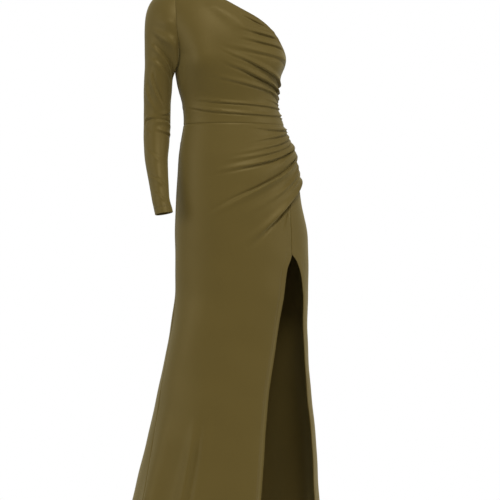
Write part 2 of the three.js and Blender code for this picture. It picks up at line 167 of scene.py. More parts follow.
# The arm inside the sleeve: height, middle across and ahead, half width, depth
ARM = (
    (240, -183, 6, 39.5, 46),
    (150, -184.5, 8, 37.5, 44),
    (83, -187, 14, 36.5, 41),
    (40, -188, 19, 34.5, 40),
    (5, -188, 21, 34.5, 39),
    (-47, -190.5, 14, 33.5, 39),
    (-99, -193.5, -3, 30, 35),
    (-151, -191.5, -25, 25.5, 31),
    (-203, -189, -46, 22.5, 27),
    (-234, -183.4, -58, 22.1, 26),
    (-250, -180.9, -64.2, 21.8, 25.5),
)
CUFF = -240.0
CUFF_DIP = 6.0  # how far the cuff hangs lower in front than at the sides
SLEEVE_SEAM = 188.0  # the sleeve's own seam runs down the arm's inside
CAP_TOP = 225.0  # height where the sleeve's head lands on the arm's outside
CAP_FOOT = 100.0  # and on its inside
CAP_START = 1.4  # how stiffly the head leaves the armhole
CAP_END = 1.5  # and how stiffly it lands on the arm

# Waves of the skirt: angle, height where it starts, depth at the hem, half width
WAVES = (
    (-30, -640, 13, 9),
    (-62, -560, 14, 11),
    (-140, -420, 19, 13),
    (-176, -380, 20, 13),
    (148, -420, 19, 13),
    (116, -520, 14, 10),
)

# Folds on the body, each over three places from its root at the left side seam to
# its tip: angle and height, three times, then how far it stands up, its half width
# at the root and the tip, the crease beside it (below, or above where negative)
# and how far along it keeps its full height
BODY_FOLDS = (
    # bodice, under the neckline
    (60, 209, 22, 251, 6, 279, 5.0, 6, 5.5, 3.5, 0.6),
    (53, 217, 24, 238, 8, 262, 3.2, 5, 5, -1.8, 0.5),
    (50, 210, 21, 223, 2, 233, 4.8, 6, 7, 3.0, 0.5),
    (55, 185, 20, 201, 0, 210, 4.5, 7, 8, 3.0, 0.5),
    (62, 156, 10, 178, -14, 194, 4.0, 8, 10, 2.5, 0.4),
    # bodice, across the bust's underside
    (84, 92, 18, 142, -16, 182, 5.5, 5, 6.5, 3.0, 0.55),
    (87, 74, 22, 115, -18, 156, 6.8, 5.5, 8, 4.8, 0.5),
    (88, 60, 4, 97, -34, 122, 4.0, 5, 8, 1.8, 0.5),
    (89, 58, 66, 84, 52, 112, 3.2, 4, 5, 2.5, 0.4),
    (89, 50, 62, 66, 44, 80, 3.0, 4, 6, 2.0, 0.4),
    # bodice, across the waist
    (89, 34, -1, 43, -58, 54, 3.0, 4, 5, 1.8, 0.7),
    (89, 20, 8, 17, -76, 38, 3.2, 4.5, 5.5, 1.8, 0.7),
    (89, 42, 50, 52, 30, 58, 2.0, 3.5, 5, 1.2, 0.3),
    (89, 11, 60, 9, 40, 10, 2.0, 3.5, 4, 1.2, 0.3),
    # skirt, out of the upper gathers
    (89, -16, 40, -21, 4, -18, 5.0, 3.5, 5, 3.8, 0.5),
    (89, -20, 30, -44, 2, -62, 4.5, 4, 5, 3.2, 0.45),
    (89, -30, 34, -62, -16, -92, 4.0, 4, 7, 2.5, 0.4),
    (89, -40, 18, -86, -24, -108, 3.8, 4, 8, 2.2, 0.5),
    (89, -47, 10, -109, -36, -134, 7.2, 4.5, 9, 5.5, 0.45),
    (89, -55, 40, -82, 14, -104, 4.0, 3.5, 6, 3.2, 0.4),
    (89, -63, 46, -100, 32, -136, 4.2, 4, 6, -3.2, 0.4),
    (89, -70, 54, -104, 30, -134, 3.8, 3.5, 6, 2.5, 0.35),
    # skirt, the long folds of the drape
    (89, -80, 14, -178, -38, -256, 8.0, 5, 11, -5.8, 0.45),
    (89, -92, 30, -186, -16, -262, 3.8, 5, 14, 1.2, 0.35),
    (89, -104, 42, -170, 22, -214, 4.2, 4.5, 8, -3.2, 0.4),
    (89, -118, 50, -172, 30, -226, 3.2, 4.5, 9, 1.8, 0.4),
    (89, -138, 46, -194, -10, -332, 10.0, 6, 13, 8.1, 0.5),
    # skirt, the small fold beside the side seam's foot
    (44, -222, 37, -254, 31, -290, 2.8, 4, 6, -2.2, 0.3),
    # skirt, the soft fold that hangs towards the hem
    (-39, -1190, -38, -960, -35, -740, 8.0, 17, 11, 6.0, 0.72),
    # back, soft creases at the waist, over the seat and towards the shoulder
    (103, 34, 128, 20, 160, 28, 2.2, 8, 9, -1.0, 0.5),
    (106, 70, 132, 48, 164, 52, 1.8, 8, 10, -0.8, 0.4),
    (100, 118, 124, 128, 152, 144, 2.0, 8, 10, -0.8, 0.4),
    (101, -52, 126, -34, 160, -30, 2.0, 9, 10, 0.8, 0.4),
    (-101, 36, -126, 22, -154, 26, 2.2, 8, 9, -1.0, 0.5),
    (-103, 74, -126, 52, -152, 54, 1.8, 8, 10, -0.8, 0.4),
    (-108, 130, -126, 146, -150, 156, 2.0, 8, 10, -0.8, 0.4),
    (-113, 168, -126, 200, -142, 232, 2.2, 8, 9, -0.9, 0.5),
    (-100, -58, -124, -38, -154, -32, 2.0, 9, 10, 0.8, 0.4),
)

# Broad swells between the folds, in the same columns
BODY_SWELLS = (
    (-12, 292, 3, 250, 14, 205, 5.0, 22, 28, 0, 0.6),
    (88, -112, 36, -196, -8, -296, 4.0, 14, 34, 0, 0.4),
    (88, -66, 30, -122, -10, -176, 4.0, 12, 26, 0, 0.35),
    (88, 96, 40, 128, 12, 160, 3.0, 14, 26, 0, 0.3),
)

# Folds on the sleeve, in degrees round the arm from its outside to the front
SLEEVE_FOLDS = (
    # from the shoulder down to the armpit
    (66, 246, 132, 214, 158, 168, 5.8, 7, 6, -3.4, 0.6),
    (60, 222, 112, 176, 150, 112, 5.8, 8, 7, -3.0, 0.6),
    (50, 186, 96, 152, 146, 100, 4.6, 8, 7, -2.3, 0.5),
    (40, 152, 84, 132, 138, 86, 2.8, 9, 8, -1.1, 0.5),
    # down the upper arm into the elbow
    (46, 116, 66, 74, 112, 22, 4.1, 8, 7, -2.5, 0.5),
    (20, 90, 40, 52, 78, 20, 2.5, 9, 8, -1.4, 0.5),
    # the bend of the elbow
    (16, -2, 38, 9, 82, 8, 3.2, 6, 6, 2.5, 0.5),
    (156, -16, 108, -6, 56, -10, 3.7, 7, 7, -2.5, 0.5),
    (168, -36, 126, -28, 70, -22, 3.2, 6, 7, 1.8, 0.5),
    (150, 26, 112, 18, 78, 20, 2.5, 6, 7, 1.4, 0.4),
    (14, -22, 32, -28, 62, -38, 2.1, 7, 7, -0.9, 0.4),
    # down the forearm
    (30, -76, 66, -96, 120, -112, 1.8, 9, 8, -0.7, 0.4),
    (10, -146, 74, -160, 136, -180, 2.5, 7, 7, -1.4, 0.5),
    (40, -188, 84, -202, 128, -214, 2.3, 6, 6, -1.1, 0.5),
    # behind the arm
    (200, 130, 240, 76, 286, 36, 3.0, 8, 7, 1.4, 0.4),
    (190, 20, 230, -6, 280, -14, 3.2, 6, 6, 1.8, 0.4),
)


def through(rows, column, along=0):
    """A curve through a table's rows, level at its turning points."""
    table = sorted((row[along], row[column]) for row in rows)
    at = np.array([place for place, _ in table], float)
    value = np.array([height for _, height in table], float)
    rise = np.diff(value) / np.diff(at)
    slope = np.empty(len(at))
    slope[0], slope[-1] = rise[0], rise[-1]
    for i in range(1, len(at) - 1):
        before, after = rise[i - 1], rise[i]
        slope[i] = 0 if before * after <= 0 else 2 * before * after / (before + after)

    def curve(x):
        x = np.clip(x, at[0], at[-1])
        i = np.clip(np.searchsorted(at, x, side="right") - 1, 0, len(at) - 2)
        step = at[i + 1] - at[i]
        t = (x - at[i]) / step
        u = 1 - t
        ends = value[i] * (1 + 2 * t) * u * u + value[i + 1] * (1 + 2 * u) * t * t
        return ends + step * (slope[i] * t * u * u - slope[i + 1] * u * t * t)

    return curve


section_middle, section_half, section_front, section_back, section_square = (
    through(BODY, column) for column in range(1, 6)
)
arm_x, arm_y, arm_half, arm_deep = (through(ARM, column) for column in range(1, 5))
neckline = through(NECKLINE, 1)
front_edge = through(FRONT_EDGE, 1)
rear_edge = through(REAR_EDGE, 1)
right_seam = through(RIGHT_SEAM, 1)


def smooth(x):
    """A step from 0 to 1, level at both ends."""
    x = np.clip(x, 0, 1)
    return x * x * (3 - 2 * x)


def bump(x):
    """A rounded crest, 1 at 0 and faded out by about 2 on either side."""
    return np.exp(-1.4 * x * x)


def power(x, p):
    """A power that keeps the sign."""
    return np.sign(x) * np.abs(x) ** p


def unit(v):
    """Vectors made one unit long."""
    return v / np.maximum(np.linalg.norm(v, axis=-1, keepdims=True), 1e-12)


def shoulder_line(x):
    """Height of the shoulder line over a place across the body."""
    out = np.hypot(x - section_middle(NECK_SIDE), NECK_HALF / 2)
    return NECK_SIDE - SHOULDER_SLOPE * (out - NECK_HALF)


def ring(angle, z):
    """The body's section at a height: across and ahead, at an angle round it."""
    p = 2 / section_square(z)
    across = power(np.sin(np.radians(angle)), p)
    ahead = power(np.cos(np.radians(angle)), p)
    depth = np.where(ahead > 0, section_front(z), section_back(z))
    return section_middle(z) + section_half(z) * across, -depth * ahead


def body_point(angle, climb):
    """The body without folds: above the chest a climb bends over to the shoulder."""
    angle, climb = np.broadcast_arrays(np.asarray(angle, float), np.asarray(climb, float))
    above = climb > CHEST
    z = np.minimum(climb, NECK_SIDE)
    closing = np.ones_like(z)
    for _ in range(6):
        rise = shoulder_line(ring(angle, z)[0]) - CHEST
        turn = (climb - CHEST) / rise
        z = np.where(above, CHEST + rise * np.sin(turn), climb)
        closing = np.where(above, np.cos(turn), 1.0)
    x, y = ring(angle, z)
    return np.stack([x, SHOULDER_BACK + (y - SHOULDER_BACK) * closing, z], axis=-1)


def climb_to(angle, z):
    """The climb that reaches a height at an angle round the body."""
    rise = shoulder_line(ring(angle, z)[0]) - CHEST
    over = CHEST + rise * np.arcsin(np.clip((z - CHEST) / rise, 0, 1))
    return np.where(z <= CHEST, z, over)


def climb_to_seam(angle):
    """The climb at which an angle round the body reaches the shoulder seam."""
    z = np.full_like(np.asarray(angle, float), NECK_SIDE)
    for _ in range(8):
        z = shoulder_line(ring(angle, z)[0])
    return CHEST + (z - CHEST) * math.pi / 2


def normal_of(surface, around, up, steps):
    """Outward normals of a surface given as a function of two arrays."""
    da, du = steps
    along = surface(around + da, up) - surface(around - da, up)
    rising = surface(around, up + du) - surface(around, up - du)
    return unit(np.cross(along, rising))


def fold_path(places, per_degree, lead):
    """A fold's path in mm round and up, led in straight before its root."""
    a0, z0, a1, z1, a2, z2 = places
    start, through_point, end = (
        np.array([a * per_degree, z], float) for a, z in ((a0, z0), (a1, z1), (a2, z2))
    )
    bend = 2 * through_point - (start + end) / 2
    t = np.linspace(0, 1, 25)[:, None]
    line = start * (1 - t) ** 2 + bend * 2 * t * (1 - t) + end * t**2
    before = start - unit(line[1] - line[0]) * lead
    return np.vstack([before, line])


# Every fold: lengths in mm, and widths as shares of its own half width
LEAD = 14.0  # it fades out over this length behind its root
ROOT_SHARE = 0.6  # its height at the root, as a share of the full height
ROOT_LENGTH = 28.0  # how far along it reaches the full height
NARROW = 0.74  # how much narrower its crest is than its foot
FADE = 3.4  # nothing of it is left past this many half widths
CREASE_PLACE = 1.55  # from its crest to the crease beside it
CREASE_WIDTH = 0.62
LEAN = 0.75  # how far it leans over its crease, as a share of its height


def fold_field(folds, per_degree, angle, z):
    """How far a table of folds moves the cloth out, round and up, in mm."""
    u = angle * per_degree
    out, round_slide, up_slide = (np.zeros_like(u) for _ in range(3))
    for *places, height, root, tip, drop, hold in folds:
        line = fold_path(places, per_degree, LEAD)
        reach = FADE * max(root, tip)
        low, high = line.min(axis=0) - reach, line.max(axis=0) + reach
        near = (u > low[0]) & (u < high[0]) & (z > low[1]) & (z < high[1])
        if not near.any():
            continue
        pu, pz = u[near], z[near]
        step = np.diff(line, axis=0)
        length = np.linalg.norm(step, axis=1)
        ru = pu[:, None] - line[None, :-1, 0]
        rz = pz[:, None] - line[None, :-1, 1]
        t = np.clip((ru * step[:, 0] + rz * step[:, 1]) / length**2, 0, 1)
        eu, ez = ru - t * step[:, 0], rz - t * step[:, 1]
        nearest = np.argmin(eu * eu + ez * ez, axis=1)
        pick = np.arange(len(pu)), nearest
        apart = np.hypot(eu[pick], ez[pick])
        du, dz = step[nearest, 0], step[nearest, 1]
        flow = np.where(du == 0, 1, np.sign(du))
        side = np.sign(rz[pick] * np.abs(du) - ru[pick] * dz * flow)
        above = apart * side
        run = np.concatenate([[0], np.cumsum(length)])
        travel = run[nearest] + t[pick] * length[nearest] - LEAD
        share = np.clip(travel / (run[-1] - LEAD), 0, 1)
        width = NARROW * (root + (tip - root) * share)
        taper = ROOT_SHARE + (1 - ROOT_SHARE) * smooth(travel / ROOT_LENGTH)
        begun = smooth((travel + LEAD) / (1.6 * LEAD))
        strength = taper * begun * (1 - smooth((share - hold) / (1 - hold)))
        ridge = strength * height * bump(above / width)
        out[near] += ridge
        if drop:
            crease = above + math.copysign(CREASE_PLACE, drop) * width
            out[near] -= strength * abs(drop) * bump(crease / (CREASE_WIDTH * width))
            lean = -math.copysign(LEAN, drop) * ridge
            reach_out = np.stack([eu[pick], ez[pick]], axis=-1) / np.maximum(apart, 1e-6)[:, None]
            round_slide[near] += lean * side * reach_out[:, 0]
            up_slide[near] += lean * side * reach_out[:, 1]
    return out, round_slide, up_slide


def turned(angle):
    """Angles counted from -160 to 200, as the fold tables are."""
    return np.where(angle > 200, angle - 360, angle)


# Slight waves of cloth that hangs free: radians for each mm across and up, phase, size
RIPPLES = (
    (0.031, 0.013, 0.4, 0.50),
    (-0.022, 0.027, 1.9, 0.42),
    (0.052, -0.019, 4.1, 0.26),
    (0.017, 0.061, 2.6, 0.22),
    (0.083, 0.044, 5.3, 0.12),
)


def ripple(u, v):
    """How far the slight waves stand out, in mm."""
    return sum(size * np.sin(across * u + up * v + phase) for across, up, phase, size in RIPPLES)


def wave_out(angle, z):
    """How far the skirt's waves stand out."""
    out = np.zeros_like(z)
    for place, top, depth, width in WAVES:
        apart = (angle - place + 540) % 360 - 180
        out += depth * smooth((top - z) / (top - HEM)) * bump(apart / width)
    return out


CALM = 0.2  # what is left of a fold at the neckline
CALM_START, CALM_DEPTH = 3, 20  # mm below the neckline, and the depth over which folds grow


def calm_by_neckline(angle, climb):
    """How much of a fold is left beside the neckline, whose turned edge holds the cloth."""
    below = climb_to(angle, neckline(angle)) - climb
    open_edge = (angle > NECK_POINT) & (angle < 180 - NECK_POINT)
    grown = smooth((below - CALM_START) / CALM_DEPTH)
    return np.where(open_edge, CALM + (1 - CALM) * grown, 1.0)


# The slit's free front edge curls in: how far in mm, over what height below the slit's
# top it grows, and how wide the curl is
SLIT_CURL, CURL_GROWTH, CURL_WIDTH = 9.5, 260, 12.5


def body_cloth(angle, climb):
    """The cloth over the body, folds and all: places in mm and the body's normals."""
    base = body_point(angle, climb)
    normal = normal_of(body_point, angle, climb, (0.5, 1.0))
    z = base[..., 2]
    side = turned(angle)
    out, around, up = (
        moved * calm_by_neckline(angle, climb)
        for moved in fold_field(BODY_FOLDS, BODY_PER_DEGREE, side, z)
    )
    for place, height, depth, across, rise in FULLNESS:
        spread = (side - place) * BODY_PER_DEGREE / across
        out += depth * bump(np.hypot(spread, (z - height) / rise))
    out += wave_out(angle, z)
    out += fold_field(BODY_SWELLS, BODY_PER_DEGREE, side, z)[0]
    past = (side - front_edge(z)) * np.radians(section_half(z))
    out -= SLIT_CURL * smooth((SLIT_TOP - z) / CURL_GROWTH) * np.exp(-((past / CURL_WIDTH) ** 2))
    out += ripple(angle * BODY_PER_DEGREE, z) * (0.5 + 0.9 * smooth(-z / 500))  # most low down
    tangent = unit(body_point(angle + 0.5, climb) - body_point(angle - 0.5, climb))
    rising = unit(np.cross(normal, tangent))
    place = base + normal * out[..., None] + tangent * around[..., None] + rising * up[..., None]
    return place, normal


def armhole(turn):
    """Angle and climb on the body at a turn round the armhole, from its top forwards."""
    turn = np.mod(np.asarray(turn, float), 360)
    ahead = turn <= 180
    beta = np.radians(np.where(ahead, 90 - turn / 2, (turn - 180) / 2))
    reach = (SIDE_ANGLE + SHOULDER_POINT) * np.sin(beta)
    top = climb_to_seam(np.array(SHOULDER_POINT))
    climb = top - (top - UNDERARM_RIGHT) * np.cos(beta)
    return np.where(ahead, -SIDE_ANGLE + reach, 360 - SIDE_ANGLE - reach), climb


def cuff_height(turn):
    """The cuff's edge dips in front and rises behind the wrist."""
    return CUFF - CUFF_DIP * np.sin(np.radians(turn))


def head_landing(turn):
    """The height at which the sleeve's head lands on the arm, at an angle round it."""
    return CAP_FOOT + (CAP_TOP - CAP_FOOT) * (1 + np.cos(np.radians(turn))) / 2


def arm_point(turn, z):
    """The arm's section, square to the arm, at an angle round it."""
    turn, z = np.broadcast_arrays(np.asarray(turn, float), np.asarray(z, float))

    def middle(height):
        return np.stack([arm_x(height), arm_y(height), height], axis=-1)

    down = unit(middle(z - 4) - middle(z + 4))
    out = unit(np.array([-1.0, 0, 0]) + down * down[..., :1])
    ahead = unit(np.cross(out, down))
    across = (arm_half(z) * np.cos(np.radians(turn)))[..., None]
    deep = (arm_deep(z) * np.sin(np.radians(turn)))[..., None]
    return middle(z) + out * across + ahead * deep


def sleeve_point(turn, down):
    """The sleeve without folds: down is 0 at the armhole, 1 on the arm, 2 at the cuff."""
    turn, down = np.broadcast_arrays(np.asarray(turn, float), np.asarray(down, float))
    place = np.radians(turn)
    landing = head_landing(turn)
    along_arm = arm_point(turn, landing + (cuff_height(turn) - landing) * np.clip(down - 1, 0, 1.2))
    seam_angle, seam_climb = armhole(turn)
    start = body_cloth(seam_angle, seam_climb)[0]
    end = arm_point(turn, landing)
    apart = np.linalg.norm(end - start, axis=-1, keepdims=True)
    # the head leaves the armhole outwards over the shoulder, and downwards at the armpit
    leave = unit(np.stack([
        -0.58 - 0.42 * np.cos(place),
        -0.12 * np.sin(place),
        -0.33 - 0.335 * (1 - np.cos(place)),
    ], axis=-1))
    arrive = unit(arm_point(turn, landing - 4) - end)
    t = np.clip(down, 0, 1)[..., None]
    cap = start * (1 + 2 * t) * (1 - t) ** 2 + end * t**2 * (3 - 2 * t)
    cap += leave * CAP_START * apart * t * (1 - t) ** 2
    cap -= arrive * CAP_END * apart * t**2 * (1 - t)
    return np.where((down >= 1)[..., None], along_arm, cap)


def sleeve_cloth(turn, down):
    """The sleeve's cloth, folds and all: places in mm and its normals."""
    base = sleeve_point(turn, down)
    normal = -normal_of(sleeve_point, turn, down, (2.0, 0.01))
    z = base[..., 2]
    wrapped = np.mod(turn + 70, 360) - 70  # from -70 to 290, as in the table
    out, around, up = fold_field(SLEEVE_FOLDS, ARM_PER_DEGREE, wrapped, z)
    out += 0.4 * ripple(np.mod(turn - SLEEVE_SEAM, 360) * ARM_PER_DEGREE * 2, z * 2)
    clear = smooth(down / 0.3)[..., None]  # folds die out at the armhole seam
    tangent = unit(sleeve_point(turn + 2, down) - sleeve_point(turn - 2, down))
    rising = unit(np.cross(normal, tangent))
    moved = normal * out[..., None] + tangent * around[..., None] + rising * up[..., None]
    return base + clear * moved, normal


def origin_place():
    """The part's origin in the dress's own measures: under the shoulder seam."""
    angle = np.array((SHOULDER_POINT + NECK_POINT) / 2)
    seam = climb_to_seam(angle)
    normal = normal_of(body_point, angle, seam, (0.5, 1.0))
    return body_point(angle, seam) - normal * WALL


ORIGIN = origin_place()


def graded(length, count, start=(), end=()):
    """Fractions of a length in mm: fine steps at its ends, even ones between."""
    first = [d / length for d in start]
    last = [1 - d / length for d in reversed(end)]
    low = first[-1] if first else 0.0
    high = last[0] if last else 1.0
    even = list(np.linspace(low, high, count + 1))
    return np.array(first[:-1] + even + last[1:])


# Fine steps from an edge, and from a hem's edge past its stitching, in mm
FINE = (0.0, 0.7, 1.5, 2.4, 3.6, 5.2, 7.4)
HEM_FINE = (*FINE, 10.4, 13.6, 14.5, 15.3, 16.1, 17.2, 18.1, 18.9, 19.9, 21.2, 23.5)
THICK = 1.0  # the jersey

# How a sheet goes on past its edge: mm beyond the edge, and mm behind the cloth
SEAM_ALLOWANCE = np.array(((0.0, 0.6), (0.2, 1.4), (0.6, 2.4), (0.8, 3.8), (0.8, 6.0), (0.8, 9.0)))
TURNED_HEM = np.array(((0.45, 0.4), (0.7, 1.1), (0.45, 1.8), (-0.2, 2.2), (-4.0, 2.2), (-9.0, 2.2)))
ENDS = len(SEAM_ALLOWANCE)

# How deep and how wide each seam draws the cloth in, in mm
ARMHOLE = (0.35, 1.4)
BODICE_SEAM = (1.2, 1.7)
SLEEVE_OWN = (0.8, 1.4)
FRONT_WAIST = (1.1, 2.0)
FRONT_SIDE = (1.2, 2.0)
DRAPE_EDGE = (1.8, 2.2)
BACK_WAIST = (0.8, 2.4)
BACK_LEFT = (1.4, 2.0)
BACK_RIGHT = (1.2, 2.0)
SIDE_PANEL = (1.1, 1.7)

# Puckers beside a gathered seam: size, pitch and how far they reach, in mm
BODICE_PUCKERS = (0.25, 8.0, 5.0)
FRONT_PUCKERS = (0.35, 9.0, 6.0)
BACK_PUCKERS = (0.4, 9.0, 4.0)

# Hems: how deep the turned band is, where its stitches run and how they press it in
HEM_BAND = 20.0  # of the skirt, the slit and the cuff
NECK_BAND = 9.0
HEM_RISE = 0.7  # how far a second layer stands up
NECK_RISE = 0.3
BAND_EDGE = 2.5  # width of the step at the band's inner edge
STITCH_EDGE = 1.2  # from a band's inner edge to its first row of stitches
STITCH_LIFT = 0.1  # added to a third of the thread, it lifts a stitch's middle off the cloth
ROW_PRESS = 0.9  # how much of the rise a row of stitches presses in
ROW_WIDTH = 1.3


def edge_distance(places, edge):
    """Distance of every place from a line of places along an edge, in mm."""
    flat = places.reshape(-1, 3)
    nearest = np.full(len(flat), np.inf)
    for point in edge:
        nearest = np.minimum(nearest, ((flat - point) ** 2).sum(axis=1))
    return np.sqrt(nearest).reshape(places.shape[:-1])


def roll_into_seams(places, normal, *seams):
    """Rolls the cloth inwards along its seams, each with its edge, depth and width in mm."""
    dip = np.zeros(places.shape[:-1])
    for edge, depth, width in seams:
        away = edge_distance(places, edge)
        dip = np.maximum(dip, depth * np.exp(-((away / width) ** 2)))
    return places - normal * dip[..., None]


def pucker(places, normal, edge, size, pitch, fade):
    """Small puckers that stand square to a seam and die out beside it."""
    away = edge_distance(places, edge)
    z = places[..., 2]
    beat = np.sin(2 * math.pi * z / pitch + 1.3 * np.sin(z / 23.0)) + 0.4 * np.sin(z / 1.9)
    return places + normal * (size * beat * np.exp(-away / fade))[..., None]


def row_distances(band, rows=None):
    """How far from a hem's edge its rows of stitches run, in mm."""
    settings = bpy.context.scene.dress_stitches
    return [band - STITCH_EDGE - i * settings.row_gap / MM for i in range(rows or settings.rows)]


def thicken_hem(places, normal, edge, band, rise=HEM_RISE, rows=None):
    """A hem's second layer shows as a step, with its rows of stitching pressed in."""
    away = edge_distance(places, edge)
    step = rise * (1 - smooth((away - band + 1) / BAND_EDGE))
    for row in row_distances(band, rows):
        step -= rise * ROW_PRESS * np.exp(-(((away - row) / ROW_WIDTH) ** 2))
    return places + normal * step[..., None]


def grid_normals(places):
    """Normals of a grid of places, its rows going up and its columns round."""
    round_step = np.gradient(places, axis=1)
    up_step = np.gradient(places, axis=0)
    return unit(np.cross(round_step, up_step))


def shell(name, places):
    """A sheet as a thin closed shell with rounded edges, and its own UV map in metres."""
    rows, columns = places.shape[:2]
    normal = grid_normals(places)
    inner = places - normal * THICK
    index = np.arange(rows * columns).reshape(rows, columns)
    border = np.concatenate([
        index[0, :-1], index[:-1, -1], index[-1, :0:-1], index[:0:-1, 0],
    ])
    apart = np.zeros_like(places)
    apart[0] += unit(places[0] - places[1])
    apart[-1] += unit(places[-1] - places[-2])
    apart[:, 0] += unit(places[:, 0] - places[:, 1])
    apart[:, -1] += unit(places[:, -1] - places[:, -2])
    middle = (places + inner) / 2 + unit(apart) * THICK / 2
    total = rows * columns
    vertices = np.vstack([
        places.reshape(-1, 3), inner.reshape(-1, 3), middle.reshape(-1, 3)[border],
    ])
    a, b = index[:-1, :-1].ravel(), index[:-1, 1:].ravel()
    c, d = index[1:, 1:].ravel(), index[1:, :-1].ravel()
    outer_faces = np.stack([a, b, c, d], axis=1)
    inner_faces = np.stack([a, d, c, b], axis=1) + total
    following = np.roll(border, -1)
    ring_index = 2 * total + np.arange(len(border))
    ring_next = np.roll(ring_index, -1)
    rim_out = np.stack([following, border, ring_index, ring_next], axis=1)
    rim_in = np.stack([ring_next, ring_index, border + total, following + total], axis=1)
    faces = np.vstack([outer_faces, inner_faces, rim_out, rim_in])
    along = np.linalg.norm(np.diff(places, axis=1), axis=2)
    rising = np.linalg.norm(np.diff(places, axis=0), axis=2)
    u = np.hstack([np.zeros((rows, 1)), np.cumsum(along, axis=1)])
    u -= u[:, columns // 2 : columns // 2 + 1]
    v = np.vstack([np.zeros((1, columns)), np.cumsum(rising, axis=0)])
    uv = np.stack([u.ravel(), v.ravel()], axis=1)
    uv = np.vstack([uv, uv, uv[border]]) * MM
    return mesh_piece(name + "_cloth", (vertices - ORIGIN) * MM, faces, uv)


def add_object(name, data):
    """An object in the scene that shows some data."""
    made = bpy.data.objects.new(name, data)
    bpy.context.scene.collection.objects.link(made)
    return made


def mesh_piece(name, vertices, faces, uv):
    """A smooth mesh of four-sided faces with its own UV map."""
    mesh = bpy.data.meshes.new(name)
    mesh.vertices.add(len(vertices))
    mesh.vertices.foreach_set("co", np.ascontiguousarray(vertices, np.float32).ravel())
    mesh.loops.add(faces.size)
    mesh.loops.foreach_set("vertex_index", np.ascontiguousarray(faces, np.int32).ravel())
    mesh.polygons.add(len(faces))
    mesh.polygons.foreach_set("loop_start", np.arange(0, faces.size, 4, dtype=np.int32))
    mesh.update(calc_edges=True)
    layer = mesh.uv_layers.new(name="cloth")
    layer.data.foreach_set("uv", np.ascontiguousarray(uv[faces.ravel()], np.float32).ravel())
    mesh.polygons.foreach_set("use_smooth", np.ones(len(faces), bool))
    mesh.validate()
    return add_object(name, mesh)


def edge_past(kind_hem):
    """How far beyond an edge and behind the cloth each extra row lies: seam or hem,
    blended where kind_hem is between 0 and 1."""
    kind = np.asarray(kind_hem, float)[..., None, None]
    return SEAM_ALLOWANCE * (1 - kind) + TURNED_HEM * kind


def sheet_places(cloth, around, up, behind):
    """Places of a grid on the cloth, pushed behind it where an edge is turned in."""
    places, normal = cloth(around, up)
    return places - normal * behind[..., None], normal


def bodice_top(angle, turn):
    """Top edge of the bodice at a column: its climb, and 1 for a hem or 0 for a seam."""
    if turn is not None:
        return float(armhole(np.array(turn))[1]), 0.0
    if angle <= NECK_POINT or angle >= 180 - NECK_POINT:
        return float(climb_to_seam(np.array(angle))), 0.0
    return float(climb_to(np.array(angle), neckline(np.array(angle)))), 1.0


def bodice_panel(name, columns, gathered):
    """A bodice panel from its columns, each an angle or a turn round the armhole.
    gathered is the column end at the left side seam: 0 or -1."""
    angles, tops, hems = [], [], []
    for angle, turn in columns:
        place = float(armhole(np.array(turn))[0]) if turn is not None else angle
        top, hem = bodice_top(place, turn)
        angles.append(place)
        tops.append(top)
        hems.append(hem)
    angles, tops, hems = np.array(angles), np.array(tops), np.array(hems)
    hems = np.convolve(np.pad(hems, 2, mode="edge"), np.full(5, 0.2), mode="valid")
    share = graded(300, 128, FINE, FINE)
    climb = WAIST + share[:, None] * (tops - WAIST)
    top_past = edge_past(hems)
    above = (tops[:, None] + top_past[..., 0]).T
    top_behind = top_past[..., 1].T
    below = SEAM_ALLOWANCE[::-1]
    climb = np.vstack([np.repeat(WAIST - below[:, :1], len(angles), axis=1), climb, above])
    behind = np.vstack([
        np.repeat(below[:, 1:], len(angles), axis=1),
        np.zeros((len(share), len(angles))),
        top_behind,
    ])
    seam_past = SEAM_ALLOWANCE[:, 1]
    around = np.repeat(angles[None], len(climb), axis=0)
    extra = np.ones((len(climb), ENDS))
    around = np.hstack([extra * angles[0], around, extra * angles[-1]])
    climb = np.hstack([extra * climb[:, :1], climb, extra * climb[:, -1:]])
    side_behind = np.concatenate([seam_past[::-1], np.zeros(len(angles)), seam_past])
    padded = np.hstack([extra * behind[:, :1], behind, extra * behind[:, -1:]])
    behind = np.maximum(padded, side_behind)
    places, normal = sheet_places(body_cloth, around, climb, behind)
    inside = places[ENDS:-ENDS, ENDS:-ENDS]
    waist, top_edge = inside[0], inside[-1]
    left, right = inside[:, gathered], inside[:, -1 - gathered]
    seam_top, neck = top_edge[hems < 0.5], top_edge[hems >= 0.5]
    places = pucker(places, normal, left, *BODICE_PUCKERS)
    seams = [(edge, *BODICE_SEAM) for edge in (waist, left, right)]
    places = roll_into_seams(places, normal, *seams, (seam_top, *ARMHOLE))
    places = thicken_hem(places, normal, neck, NECK_BAND, NECK_RISE, rows=1)
    return shell(name, places)


def bodice_front():
    """The bodice's front: armhole, shoulder and neckline, up to the left side seam."""
    turns = [(None, turn) for turn in np.linspace(180, 0, 50)[:-1]]
    shoulder = np.linspace(SHOULDER_POINT, NECK_POINT, 18)[:-1]
    neck = NECK_POINT + (SIDE_ANGLE - NECK_POINT) * graded(250, 84, (), FINE)
    columns = turns + [(angle, None) for angle in np.concatenate([shoulder, neck])]
    return bodice_panel("bodice_front", columns, -1)


NUDGE = 1e-6  # keeps a turn on its own side of the armhole


def bodice_back():
    """The bodice's back, from the left side seam along the neckline to the armhole."""
    neck_side, shoulder_side = 180 - NECK_POINT, 180 - SHOULDER_POINT
    neck = SIDE_ANGLE + (neck_side - SIDE_ANGLE) * graded(250, 70, FINE, ())
    shoulder = np.linspace(neck_side, shoulder_side, 18)[1:-1]
    turns = [(None, turn) for turn in np.linspace(360 - NUDGE, 180 + NUDGE, 50)]
    columns = [(angle, None) for angle in np.concatenate([neck, shoulder])] + turns
    return bodice_panel("bodice_back", columns, 0)


GATHERS_END = -420  # the skirt's rows are close together above this height


